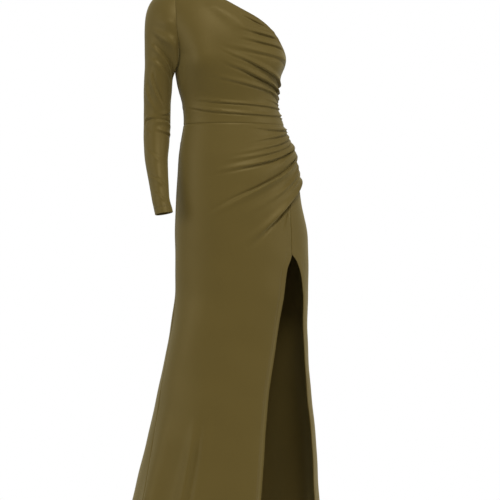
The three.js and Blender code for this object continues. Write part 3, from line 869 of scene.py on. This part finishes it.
def skirt_rows():
    """Heights of the skirt's rows from the hem up: close together over the gathers."""
    coarse = np.linspace(HEM, GATHERS_END, 84)[:-1]
    fine = np.linspace(GATHERS_END, WAIST, 132)
    rows = np.concatenate([coarse, fine])
    near_hem = HEM + np.array(HEM_FINE[1:])
    near_waist = WAIST - np.array(FINE[1:])
    rows = rows[(rows > near_hem[-1]) | (rows == HEM)]
    rows = rows[(rows < near_waist[-1]) | (rows == WAIST)]
    return np.sort(np.concatenate([rows, near_hem, near_waist]))


def skirt_grid(rows, left_of, right_of, spread, left_hem, right_hem):
    """Angles, heights and depths of a skirt panel's grid, its edges gone past.
    left_of and right_of give the edges' angles at a height, and spread the columns'
    places between them. A hem is 1 where the edge is turned and 0 where it is sewn."""
    z = np.concatenate([HEM - TURNED_HEM[::-1, 0], rows, rows[-1] + SEAM_ALLOWANCE[:, 0]])
    row_behind = np.concatenate([TURNED_HEM[::-1, 1], np.zeros(len(rows)), SEAM_ALLOWANCE[:, 1]])
    left, right = left_of(z), right_of(z)
    across = left[:, None] + (right - left)[:, None] * spread
    span = np.radians(section_half(z))[:, None]  # mm per degree
    left_past = edge_past(left_hem(z))
    right_past = edge_past(right_hem(z))
    around = np.hstack([
        (left[:, None] - left_past[..., 0] / span)[:, ::-1],
        across,
        right[:, None] + right_past[..., 0] / span,
    ])
    side_behind = np.hstack([
        left_past[..., 1][:, ::-1],
        np.zeros_like(across),
        right_past[..., 1],
    ])
    behind = np.maximum(side_behind, row_behind[:, None])
    return around, np.repeat(z[:, None], around.shape[1], axis=1), behind


def slit_hem(z):
    """1 below the slit's top, where the panels' edges are hemmed, and 0 above it."""
    return 1 - smooth((z - SLIT_TOP + 4) / 8)


def skirt_front():
    """The skirt's front, from the right side seam to the gathers and the slit."""
    spread = graded(440, 158, FINE, HEM_FINE)
    around, up, behind = skirt_grid(
        skirt_rows(), right_seam, front_edge, spread, np.zeros_like, slit_hem
    )
    places, normal = sheet_places(body_cloth, around, up, behind)
    inside = places[ENDS:-ENDS, ENDS:-ENDS]
    z = up[ENDS:-ENDS, 0]
    waist, right, hem = inside[-1], inside[:, 0], inside[0]
    seam, slit = inside[z >= SLIT_TOP, -1], inside[z < SLIT_TOP, -1]
    gathers = inside[z >= SEAM_START, -1]
    places = pucker(places, normal, gathers, *FRONT_PUCKERS)
    seams = ((waist, *FRONT_WAIST), (right, *FRONT_SIDE), (seam, *DRAPE_EDGE))
    places = roll_into_seams(places, normal, *seams)
    places = thicken_hem(places, normal, np.vstack([hem, slit]), HEM_BAND)
    return shell("skirt_front", places)


def skirt_back():
    """The skirt's back, from the left side seam round to the right one."""
    around, up, behind = skirt_grid(
        skirt_rows(),
        lambda z: np.full_like(z, SIDE_ANGLE),
        lambda z: 360 + right_seam(z),
        graded(560, 168, FINE, FINE),
        np.zeros_like,
        np.zeros_like,
    )
    places, normal = sheet_places(body_cloth, around, up, behind)
    inside = places[ENDS:-ENDS, ENDS:-ENDS]
    z = up[ENDS:-ENDS, 0]
    places = pucker(places, normal, inside[z >= SEAM_START, 0], *BACK_PUCKERS)
    waist, left, right = inside[-1], inside[:, 0], inside[:, -1]
    seams = ((waist, *BACK_WAIST), (left, *BACK_LEFT), (right, *BACK_RIGHT))
    places = roll_into_seams(places, normal, *seams)
    places = thicken_hem(places, normal, inside[0], HEM_BAND)
    return shell("skirt_back", places)


def skirt_side():
    """The side panel: each column starts on the front's edge and runs to the hem."""
    heads = SEAM_TURN + (SEAM_START - SEAM_TURN) * graded(130, 34, HEM_FINE, FINE)
    turn_angle = float(front_edge(np.array(SEAM_TURN)))
    spread = (front_edge(heads) - turn_angle) / (SIDE_ANGLE - turn_angle)
    share = graded(1000, 250, HEM_FINE, FINE)
    z = HEM + (heads[None] - HEM) * share[:, None]
    z = np.vstack([
        np.repeat(HEM - TURNED_HEM[::-1, :1], len(heads), axis=1),
        z,
        np.repeat(heads[None], ENDS, axis=0),
    ])
    row_behind = np.concatenate([TURNED_HEM[::-1, 1], np.zeros(len(share)), SEAM_ALLOWANCE[:, 1]])
    low = np.minimum(z, SEAM_TURN)
    front = np.where(low < SLIT_TOP, rear_edge(low), front_edge(low))
    around = front + (SIDE_ANGLE - front) * spread
    span = np.radians(section_half(z[:, 0]))[:, None]
    past = edge_past(slit_hem(z[:, 0]))
    around = np.hstack([
        (around[:, :1] - past[..., 0] / span)[:, ::-1],
        around,
        np.repeat(around[:, -1:], ENDS, axis=1),
    ])
    z = np.hstack([np.repeat(z[:, :1], ENDS, axis=1), z, np.repeat(z[:, -1:], ENDS, axis=1)])
    side_behind = np.hstack([
        past[..., 1][:, ::-1],
        np.zeros((len(z), len(heads))),
        np.repeat(SEAM_ALLOWANCE[:, 1][None], len(z), axis=0),
    ])
    behind = np.maximum(side_behind, row_behind[:, None])
    places, normal = sheet_places(body_cloth, around, z, behind)
    inside = places[ENDS:-ENDS, ENDS:-ENDS]
    down = z[ENDS:-ENDS, ENDS]
    seam, slit = inside[down >= SLIT_TOP, 0], inside[down < SLIT_TOP, 0]
    seams = [(edge, *SIDE_PANEL) for edge in (inside[-1], inside[:, -1], seam)]
    places = roll_into_seams(places, normal, *seams)
    places = thicken_hem(places, normal, np.vstack([inside[0], slit]), HEM_BAND)
    return shell("skirt_side", places)


NARROW_SEAM = 5.0  # how far the sleeve's own seam reaches in, in mm


def sleeve():
    """The sleeve from its cuff up to the armhole, sewn to itself inside the arm."""
    cap_length, arm_length, girth = 130.0, 400.0, 230
    arm = 2 - graded(arm_length, 132, HEM_FINE, ())
    cap = 1 - graded(cap_length, 44, (), FINE)
    hem_past, hem_behind = TURNED_HEM[::-1].T
    seam_behind = SEAM_ALLOWANCE[:, 1]
    down = np.concatenate([2 + hem_past / arm_length, arm[:-1], cap, np.zeros(ENDS)])
    row_behind = np.concatenate([hem_behind, np.zeros(len(arm) + len(cap) - 1), seam_behind])
    turn = SLEEVE_SEAM + 360 * graded(girth, 92, FINE, FINE)
    column_behind = np.concatenate([seam_behind[::-1], np.zeros(len(turn)), seam_behind])
    turn = np.concatenate([np.full(ENDS, turn[0]), turn, np.full(ENDS, turn[-1])])
    around, up = np.meshgrid(turn, down)
    behind = np.maximum(row_behind[:, None], np.minimum(column_behind, NARROW_SEAM))
    places, normal = sheet_places(sleeve_cloth, around, up, behind)
    inside = places[ENDS:-ENDS, ENDS:-ENDS]
    seams = ((inside[-1], *ARMHOLE), (inside[:, 0], *SLEEVE_OWN))
    places = roll_into_seams(places, normal, *seams)
    places = thicken_hem(places, normal, inside[0], HEM_BAND)
    return shell("sleeve", places)


def node(tree, kind, place, **values):
    """A new node at a place in its tree, with some of its sockets and settings set."""
    made = tree.nodes.new(kind)
    made.location = place
    for name, value in values.items():
        if name in made.inputs:
            made.inputs[name].default_value = value
        else:
            setattr(made, name, value)
    return made


def new_material(name, values):
    """A material, its node tree and its shader with the given socket values."""
    material = bpy.data.materials.new(name)
    material.use_nodes = True
    shader = material.node_tree.nodes["Principled BSDF"]
    for socket, value in values.items():
        shader.inputs[socket].default_value = value
    return material, material.node_tree, shader


def shade_of(colour, factor):
    """A colour times a factor, opaque."""
    return (*(part * factor for part in colour), 1)


def jersey_material(settings):
    """Olive jersey: a fine knit, a soft sheen and a slight unevenness of the dye."""
    material, tree, shader = new_material("olive_jersey", {
        "Roughness": settings.roughness,
        "Specular IOR Level": settings.gloss,
        "Sheen Weight": settings.sheen,
        "Sheen Roughness": settings.sheen_spread,
        "Specular Tint": (*settings.gloss_colour, 1),
        "Sheen Tint": (*settings.sheen_colour, 1),
    })
    link = tree.links.new
    cloth = node(tree, "ShaderNodeUVMap", (-1500, 0), uv_map="cloth")
    dye = node(tree, "ShaderNodeTexNoise", (-1100, 300), Scale=9.0, Detail=3.0, Roughness=0.5)
    fibre = node(tree, "ShaderNodeTexNoise", (-1100, 60), Scale=900.0, Detail=2.0, Roughness=0.6)
    link(cloth.outputs["UV"], dye.inputs["Vector"])
    link(cloth.outputs["UV"], fibre.inputs["Vector"])
    tone = node(tree, "ShaderNodeMix", (-700, 300), data_type="RGBA")
    tone.inputs["A"].default_value = (*settings.colour, 1)
    tone.inputs["B"].default_value = shade_of(settings.colour, settings.uneven)
    link(dye.outputs["Fac"], tone.inputs["Factor"])
    speck = node(tree, "ShaderNodeMapRange", (-900, 60))
    speck.inputs["To Min"].default_value = 0.92
    speck.inputs["To Max"].default_value = 1.08
    link(fibre.outputs["Fac"], speck.inputs["Value"])
    mixed = node(tree, "ShaderNodeVectorMath", (-450, 200), operation="SCALE")
    link(tone.outputs["Result"], mixed.inputs[0])
    link(speck.outputs["Result"], mixed.inputs["Scale"])
    link(mixed.outputs["Vector"], shader.inputs["Base Color"])
    # columns of loops, and rows a little closer together; a wave of scale s has 20 s / 2 pi
    # bands for each metre
    wale = node(tree, "ShaderNodeTexWave", (-1100, -200), bands_direction="X")
    wale.inputs["Scale"].default_value = 2 * math.pi / (20 * settings.knit)
    wale.inputs["Distortion"].default_value = 0.4
    course = node(tree, "ShaderNodeTexWave", (-1100, -450), bands_direction="Y")
    course.inputs["Scale"].default_value = wale.inputs["Scale"].default_value * 1.3
    link(cloth.outputs["UV"], wale.inputs["Vector"])
    link(cloth.outputs["UV"], course.inputs["Vector"])
    knit = node(tree, "ShaderNodeMath", (-800, -300), operation="MULTIPLY")
    link(wale.outputs["Fac"], knit.inputs[0])
    link(course.outputs["Fac"], knit.inputs[1])
    rough = node(tree, "ShaderNodeMath", (-600, -300), operation="ADD")
    link(knit.outputs["Value"], rough.inputs[0])
    link(fibre.outputs["Fac"], rough.inputs[1])
    relief = node(tree, "ShaderNodeBump", (-350, -300), Strength=0.35, Distance=0.00012)
    link(rough.outputs["Value"], relief.inputs["Height"])
    link(relief.outputs["Normal"], shader.inputs["Normal"])
    return material


def thread_material(settings):
    """Sewing thread, a shade lighter than the jersey, with its twist."""
    material, tree, shader = new_material("olive_thread", {"Roughness": 0.5, "Sheen Weight": 0.3})
    place = node(tree, "ShaderNodeTexCoord", (-900, 0))
    twist = node(tree, "ShaderNodeTexWave", (-650, 0), bands_direction="DIAGONAL", Scale=900.0)
    shade = node(tree, "ShaderNodeMix", (-350, 0), data_type="RGBA")
    shade.inputs["A"].default_value = shade_of(settings.colour, 1.05)
    shade.inputs["B"].default_value = shade_of(settings.colour, 1.5)
    tree.links.new(place.outputs["Object"], twist.inputs["Vector"])
    tree.links.new(twist.outputs["Fac"], shade.inputs["Factor"])
    tree.links.new(shade.outputs["Result"], shader.inputs["Base Color"])
    return material


def find_material(name, make, settings):
    """A material by its name, made on its first use."""
    return bpy.data.materials.get(name) or make(settings)


def stitch_nodes():
    """Geometry Nodes that lay stitches end to end along lines of edges."""
    tree = bpy.data.node_groups.new("hem_stitches", "GeometryNodeTree")
    sockets = (
        ("Lines", "INPUT", "Geometry"),
        ("Pitch", "INPUT", "Float"),
        ("Stitch", "INPUT", "Vector"),
        ("Thread", "INPUT", "Material"),
        ("Stitches", "OUTPUT", "Geometry"),
    )
    for name, in_out, kind in sockets:
        tree.interface.new_socket(name, in_out=in_out, socket_type="NodeSocket" + kind)
    given = node(tree, "NodeGroupInput", (-900, 0))
    curve = node(tree, "GeometryNodeMeshToCurve", (-700, 100))
    spots = node(tree, "GeometryNodeCurveToPoints", (-500, 100), mode="LENGTH")
    facing = node(tree, "FunctionNodeAlignRotationToVector", (-500, -150), axis="Z")
    bead = node(tree, "GeometryNodeMeshUVSphere", (-500, -350), Segments=6, Rings=5, Radius=0.5)
    sewn = node(tree, "GeometryNodeInstanceOnPoints", (-250, 0))
    real = node(tree, "GeometryNodeRealizeInstances", (-50, 0))
    thread = node(tree, "GeometryNodeSetMaterial", (150, 0))
    made = node(tree, "NodeGroupOutput", (350, 0))
    link = tree.links.new
    link(given.outputs["Lines"], curve.inputs["Mesh"])
    link(curve.outputs["Curve"], spots.inputs["Curve"])
    link(given.outputs["Pitch"], spots.inputs["Length"])
    link(spots.outputs["Tangent"], facing.inputs["Vector"])
    link(spots.outputs["Points"], sewn.inputs["Points"])
    link(bead.outputs["Mesh"], sewn.inputs["Instance"])
    link(facing.outputs["Rotation"], sewn.inputs["Rotation"])
    link(given.outputs["Stitch"], sewn.inputs["Scale"])
    link(sewn.outputs["Instances"], real.inputs["Geometry"])
    link(real.outputs["Geometry"], thread.inputs["Geometry"])
    link(given.outputs["Thread"], thread.inputs["Material"])
    link(thread.outputs["Geometry"], made.inputs["Stitches"])
    return tree


def line_inside(cloth, around, up, distance, lift):
    """A line on the cloth at a distance in mm from an edge. Each row of around and up
    starts on the edge and runs inwards. The line lies lift mm above the cloth."""
    places, normal = cloth(around, up)
    run = np.cumsum(np.linalg.norm(np.diff(places, axis=1), axis=2), axis=1)
    run = np.hstack([np.zeros((len(run), 1)), run])
    after = np.clip((run < distance).sum(axis=1), 1, run.shape[1] - 1)
    row = np.arange(len(run))
    share = (distance - run[row, after - 1]) / (run[row, after] - run[row, after - 1])
    near, far = places[row, after - 1], places[row, after]
    return near + (far - near) * share[:, None] + normal[row, after] * lift


def stitch_rows(cloth, around, up, band, rows=None):
    """The parallel rows of a hem's stitching, in the grooves that thicken_hem presses."""
    lift = STITCH_LIFT + bpy.context.scene.dress_stitches.thread / MM / 3
    return [line_inside(cloth, around, up, row, lift) for row in row_distances(band, rows)]


def sew(name, lines):
    """Stitches along some lines of places, as one plain mesh."""
    settings = bpy.context.scene.dress_stitches
    vertices = (np.vstack(lines) - ORIGIN) * MM
    edges, first = [], 0
    for line in lines:
        edges += [(first + i, first + i + 1) for i in range(len(line) - 1)]
        first += len(line)
    mesh = bpy.data.meshes.new(name + "_lines")
    mesh.from_pydata(vertices.tolist(), edges, [])
    piece = add_object(name + "_stitches", mesh)
    tree = bpy.data.node_groups.get("hem_stitches") or stitch_nodes()
    modifier = piece.modifiers.new("stitches", "NODES")
    modifier.node_group = tree
    cloth = bpy.context.scene.dress_cloth
    values = {
        "Pitch": settings.pitch,
        "Stitch": (settings.thread, settings.thread, settings.length),
        "Thread": find_material("olive_thread", thread_material, cloth),
    }
    for socket in tree.interface.items_tree:
        if socket.in_out == "INPUT" and socket.name in values:
            modifier[socket.identifier] = values[socket.name]
    shown = piece.evaluated_get(bpy.context.evaluated_depsgraph_get())
    plain = bpy.data.meshes.new_from_object(shown)
    piece.modifiers.clear()
    piece.data = plain
    plain.name = piece.name
    plain.shade_smooth()
    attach(piece, "root")
    return piece


INWARDS = np.linspace(0, 1, 41)  # steps from an edge towards the middle of a panel
# How far those steps reach: past each band, in mm, and in degrees at the slit
PAST_HEM, PAST_NECK, PAST_CUFF, PAST_SLIT = 30, 20, 32, 14


def skirt_hem_rows(left, right):
    """Rows of stitching along the bottom hem between two angles at the hem."""
    angle = np.linspace(left, right, 220)
    around = np.repeat(angle[:, None], len(INWARDS), axis=1)
    up = HEM + PAST_HEM * np.repeat(INWARDS[None], len(angle), axis=0)
    return stitch_rows(body_cloth, around, up, HEM_BAND)


def slit_hem_rows(edge, inwards):
    """Rows of stitching along one edge of the slit; inwards is +1 or -1 round the body."""
    z = np.linspace(HEM + HEM_BAND, SLIT_TOP, 200)
    around = edge(z)[:, None] + inwards * PAST_SLIT * INWARDS[None]
    up = np.repeat(z[:, None], len(INWARDS), axis=1)
    return stitch_rows(body_cloth, around, up, HEM_BAND)


def neckline_rows(left, right):
    """The row of stitching under the neckline between two angles."""
    angle = np.linspace(left, right, 160)
    top = climb_to(angle, neckline(angle))
    around = np.repeat(angle[:, None], len(INWARDS), axis=1)
    up = top[:, None] - PAST_NECK * INWARDS[None]
    return stitch_rows(body_cloth, around, up, NECK_BAND, rows=1)


def cuff_rows():
    """Rows of stitching round the cuff."""
    turn = SLEEVE_SEAM + np.linspace(1, 359, 120)
    length = cuff_height(turn) - head_landing(turn)
    up = 2 + PAST_CUFF * INWARDS[None] / length[:, None]
    around = np.repeat(turn[:, None], len(INWARDS), axis=1)
    return stitch_rows(sleeve_cloth, around, up, HEM_BAND)


def finish_sheet(piece, stitches):
    """Gives a panel its jersey, hides the frame's wall of its name, hangs it on the frame's body
    and sews its stitches.
    """
    settings = bpy.context.scene.dress_cloth
    piece.data.materials.append(find_material("olive_jersey", jersey_material, settings))
    wall = piece.name.replace("_cloth", "")
    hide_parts(wall)
    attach(piece, "root")
    sew(wall, stitches)
    return piece


class ClothSettings(bpy.types.PropertyGroup):
    colour: bpy.props.FloatVectorProperty(
        name="Colour", description="Dye of the jersey", subtype="COLOR", size=3,
        min=0, max=1, default=(0.102, 0.0715, 0.0176),
    )
    uneven: bpy.props.FloatProperty(
        name="Unevenness", description="How much lighter the dye takes in places",
        min=1, max=2, default=1.12,
    )
    roughness: bpy.props.FloatProperty(
        name="Roughness", description="Spread of the jersey's gloss",
        subtype="FACTOR", min=0, max=1, default=0.42,
    )
    gloss: bpy.props.FloatProperty(
        name="Gloss", description="Strength of the jersey's gloss",
        subtype="FACTOR", min=0, max=1, default=0.26,
    )
    gloss_colour: bpy.props.FloatVectorProperty(
        name="Gloss colour", description="Colour of the gloss, which the dyed fibres tint",
        subtype="COLOR", size=3, min=0, max=1, default=(1.0, 0.82, 0.42),
    )
    sheen: bpy.props.FloatProperty(
        name="Sheen", description="Light caught by the fibres at a low angle",
        subtype="FACTOR", min=0, max=1, default=0.34,
    )
    sheen_spread: bpy.props.FloatProperty(
        name="Sheen spread", description="How far the sheen reaches in from the outline",
        subtype="FACTOR", min=0, max=1, default=0.55,
    )
    sheen_colour: bpy.props.FloatVectorProperty(
        name="Sheen colour", description="Colour of the sheen", subtype="COLOR", size=3,
        min=0, max=1, default=(0.80, 0.68, 0.30),
    )
    knit: bpy.props.FloatProperty(
        name="Knit", description="Width of one column of loops",
        subtype="DISTANCE", unit="LENGTH", min=0.0002, max=0.005, default=0.0007,
    )


class StitchSettings(bpy.types.PropertyGroup):
    pitch: bpy.props.FloatProperty(
        name="Pitch", description="Distance from one stitch to the next",
        subtype="DISTANCE", unit="LENGTH", min=0.001, max=0.01, default=0.003,
    )
    length: bpy.props.FloatProperty(
        name="Length", description="Length of thread that shows between two holes",
        subtype="DISTANCE", unit="LENGTH", min=0.0005, max=0.01, default=0.0024,
    )
    thread: bpy.props.FloatProperty(
        name="Thread", description="Thickness of the sewing thread",
        subtype="DISTANCE", unit="LENGTH", min=0.0001, max=0.002, default=0.00045,
    )
    rows: bpy.props.IntProperty(
        name="Rows", description="Parallel rows of a hem's stitching", min=1, max=3, default=2,
    )
    row_gap: bpy.props.FloatProperty(
        name="Row gap", description="Distance between the rows",
        subtype="DISTANCE", unit="LENGTH", min=0.001, max=0.01, default=0.0035,
    )


class StageSettings(bpy.types.PropertyGroup):
    floor_colour: bpy.props.FloatVectorProperty(
        name="Floor colour", description="Colour of the floor and the backdrop",
        subtype="COLOR", size=3, min=0, max=1, default=(0.93, 0.93, 0.93),
    )
    floor_drop: bpy.props.FloatProperty(
        name="Floor below the hem", description="Gap between the hem and the floor",
        subtype="DISTANCE", unit="LENGTH", min=0.001, max=0.2, default=0.012,
    )
    floor_width: bpy.props.FloatProperty(
        name="Floor width", description="Width of the round floor under the dress",
        subtype="DISTANCE", unit="LENGTH", min=0.5, max=20, default=2.4,
    )
    key: bpy.props.FloatProperty(
        name="Key light", description="Power of the main light", subtype="POWER",
        min=0, max=2000, default=114,
    )
    fill: bpy.props.FloatProperty(
        name="Fill light", description="Power of the light from the other side",
        subtype="POWER", min=0, max=2000, default=21,
    )
    sky: bpy.props.FloatProperty(
        name="Surrounding light", description="Strength of the light all round",
        min=0, max=5, default=0.33,
    )
    turn: bpy.props.FloatProperty(
        name="Camera turn", description="How far the camera stands to the side of straight ahead",
        subtype="ANGLE", unit="ROTATION", min=-math.pi, max=math.pi, default=math.radians(-12),
    )
    distance: bpy.props.FloatProperty(
        name="Camera distance", description="Distance from the camera to the dress",
        subtype="DISTANCE", unit="LENGTH", min=0.5, max=20, default=4.0,
    )
    field: bpy.props.FloatProperty(
        name="Field", description="Width of the view at the dress",
        subtype="DISTANCE", unit="LENGTH", min=0.1, max=10, default=1.3,
    )


class DRESS_OT_bodice_front(bpy.types.Operator):
    """Make the bodice's front, gathered into the left side seam"""

    bl_idname = "dress.bodice_front"
    bl_label = "Bodice front"

    def execute(self, context):
        neck = neckline_rows(NECK_POINT, SIDE_ANGLE)
        finish_sheet(bodice_front(), neck)
        return {"FINISHED"}


class DRESS_OT_bodice_back(bpy.types.Operator):
    """Make the bodice's plain back"""

    bl_idname = "dress.bodice_back"
    bl_label = "Bodice back"

    def execute(self, context):
        neck = neckline_rows(SIDE_ANGLE, 180 - NECK_POINT)
        finish_sheet(bodice_back(), neck)
        return {"FINISHED"}


class DRESS_OT_sleeve(bpy.types.Operator):
    """Make the one long sleeve, from the armhole to the hemmed cuff"""

    bl_idname = "dress.sleeve"
    bl_label = "Sleeve"

    def execute(self, context):
        finish_sheet(sleeve(), cuff_rows())
        return {"FINISHED"}


class DRESS_OT_skirt_front(bpy.types.Operator):
    """Make the skirt's front, gathered at its side and open at the slit"""

    bl_idname = "dress.skirt_front"
    bl_label = "Skirt front"

    def execute(self, context):
        hem = skirt_hem_rows(float(right_seam(HEM)), float(front_edge(HEM)))
        slit = slit_hem_rows(front_edge, -1)
        finish_sheet(skirt_front(), hem + slit)
        return {"FINISHED"}


class DRESS_OT_skirt_side(bpy.types.Operator):
    """Make the side panel behind the slit"""

    bl_idname = "dress.skirt_side"
    bl_label = "Skirt side"

    def execute(self, context):
        hem = skirt_hem_rows(float(rear_edge(HEM)), SIDE_ANGLE)
        slit = slit_hem_rows(rear_edge, 1)
        finish_sheet(skirt_side(), hem + slit)
        return {"FINISHED"}


class DRESS_OT_skirt_back(bpy.types.Operator):
    """Make the skirt's back"""

    bl_idname = "dress.skirt_back"
    bl_label = "Skirt back"

    def execute(self, context):
        hem = skirt_hem_rows(SIDE_ANGLE, 360 + float(right_seam(HEM)))
        finish_sheet(skirt_back(), hem)
        return {"FINISHED"}


def area_light(name, place, target, size, power, colour=(1, 1, 1)):
    """A round light at a place, turned towards a target."""
    light = bpy.data.lights.new(name, "AREA")
    light.shape = "DISK"
    light.size = size
    light.energy = power
    light.color = colour
    lamp = add_object(name, light)
    lamp.location = place
    lamp.rotation_euler = (target - lamp.location).to_track_quat("-Z", "Y").to_euler()


def disc(name, radius, height, material):
    """A flat round floor."""
    corners = [
        (radius * math.cos(turn), radius * math.sin(turn), height)
        for turn in np.linspace(0, 2 * math.pi, 96, endpoint=False)
    ]
    mesh = bpy.data.meshes.new(name)
    mesh.from_pydata(corners, [], [tuple(range(len(corners)))])
    mesh.materials.append(material)
    return add_object(name, mesh)


AIM = (50.9, -10.8, -333.0)  # middle of the picture, in the dress's own measures, mm
KEY_LIGHT = (3.4, 0.7, 3.7)  # metres from the aim towards the camera, to the right and up

# The lights that fill in: name, where as above, width, share of the fill light's power
FILL_LIGHTS = (
    ("right", (1.2, 2.4, 0.9), 1.6, 1.0),
    ("left", (1.4, -2.4, 0.6), 1.6, 0.8),
    ("back", (-3.4, 0, 2.6), 1.8, 2.2),
)


def light_stage(aim, away, side, settings):
    """The key light on the chest, the lights that fill in, and the light all round."""
    up = Vector((0, 0, 1))

    def place(apart):
        return aim + away * apart[0] + side * apart[1] + up * apart[2]

    chest = place((0, 0, 0.1))
    area_light("key", place(KEY_LIGHT), chest, 1.4, settings.key, (1, 0.98, 0.95))
    for name, apart, size, share in FILL_LIGHTS:
        area_light(name, place(apart), aim, size, settings.fill * share)
    world = bpy.data.worlds.new("studio")
    bpy.context.scene.world = world
    world.use_nodes = True
    tree = world.node_tree
    lit = tree.nodes["Background"]
    lit.inputs["Color"].default_value = (1, 1, 1, 1)
    lit.inputs["Strength"].default_value = settings.sky
    seen = node(tree, "ShaderNodeBackground", (0, 150), Color=(1, 1, 1, 1))  # the white backdrop
    path = node(tree, "ShaderNodeLightPath", (0, 500))
    both = node(tree, "ShaderNodeMixShader", (250, 300))
    tree.links.new(path.outputs["Is Camera Ray"], both.inputs["Fac"])
    tree.links.new(lit.outputs["Background"], both.inputs[1])
    tree.links.new(seen.outputs["Background"], both.inputs[2])
    tree.links.new(both.outputs["Shader"], tree.nodes["World Output"].inputs["Surface"])


class DRESS_OT_stage(bpy.types.Operator):
    """Make the floor, the lights and the camera"""

    bl_idname = "dress.stage"
    bl_label = "Stage"

    def execute(self, context):
        settings = context.scene.dress_stage
        aim = Vector((np.array(AIM) - ORIGIN) * MM)
        floor_z = (HEM - ORIGIN[2]) * MM - settings.floor_drop
        colour = (*settings.floor_colour, 1)
        pale = new_material("pale_floor", {"Base Color": colour, "Roughness": 0.9})[0]
        floor = disc("floor", settings.floor_width / 2, floor_z, pale)
        camera = add_object("camera", bpy.data.cameras.new("camera"))
        away = Vector((math.sin(settings.turn), -math.cos(settings.turn), 0))
        camera.location = aim + away * settings.distance
        camera.rotation_euler = (math.pi / 2, 0, settings.turn)
        lens = camera.data
        lens.sensor_width = 36.0
        lens.lens = lens.sensor_width * settings.distance / settings.field
        lens.clip_end = 100
        context.scene.camera = camera
        side = Vector((math.cos(settings.turn), math.sin(settings.turn), 0))
        light_stage(aim, away, side, settings)
        context.scene.view_settings.view_transform = "Standard"
        return {"FINISHED"}


PIECES = (
    DRESS_OT_bodice_front,
    DRESS_OT_bodice_back,
    DRESS_OT_sleeve,
    DRESS_OT_skirt_front,
    DRESS_OT_skirt_side,
    DRESS_OT_skirt_back,
    DRESS_OT_stage,
)


class DRESS_PT_panel(bpy.types.Panel):
    """The dress's pieces"""

    bl_label = "Dress"
    bl_idname = "DRESS_PT_panel"
    bl_space_type = "VIEW_3D"
    bl_region_type = "UI"
    bl_category = "Dress"

    def draw(self, context):
        layout = self.layout
        scene = context.scene
        for settings in (scene.dress_cloth, scene.dress_stitches, scene.dress_stage):
            for name in settings.__annotations__:
                layout.prop(settings, name)
        for piece in PIECES:
            layout.operator(piece.bl_idname)


CLASSES = (ClothSettings, StitchSettings, StageSettings, *PIECES, DRESS_PT_panel)


def register():
    for made in CLASSES:
        bpy.utils.register_class(made)
    bpy.types.Scene.dress_cloth = bpy.props.PointerProperty(type=ClothSettings)
    bpy.types.Scene.dress_stitches = bpy.props.PointerProperty(type=StitchSettings)
    bpy.types.Scene.dress_stage = bpy.props.PointerProperty(type=StageSettings)


def unregister():
    del bpy.types.Scene.dress_stage
    del bpy.types.Scene.dress_stitches
    del bpy.types.Scene.dress_cloth
    for made in reversed(CLASSES):
        bpy.utils.unregister_class(made)


def main():
    """Makes every piece and the stage."""
    register()
    for piece in PIECES:
        group, name = piece.bl_idname.split(".")
        getattr(getattr(bpy.ops, group), name)()


if __name__ == "__main__":
    main()
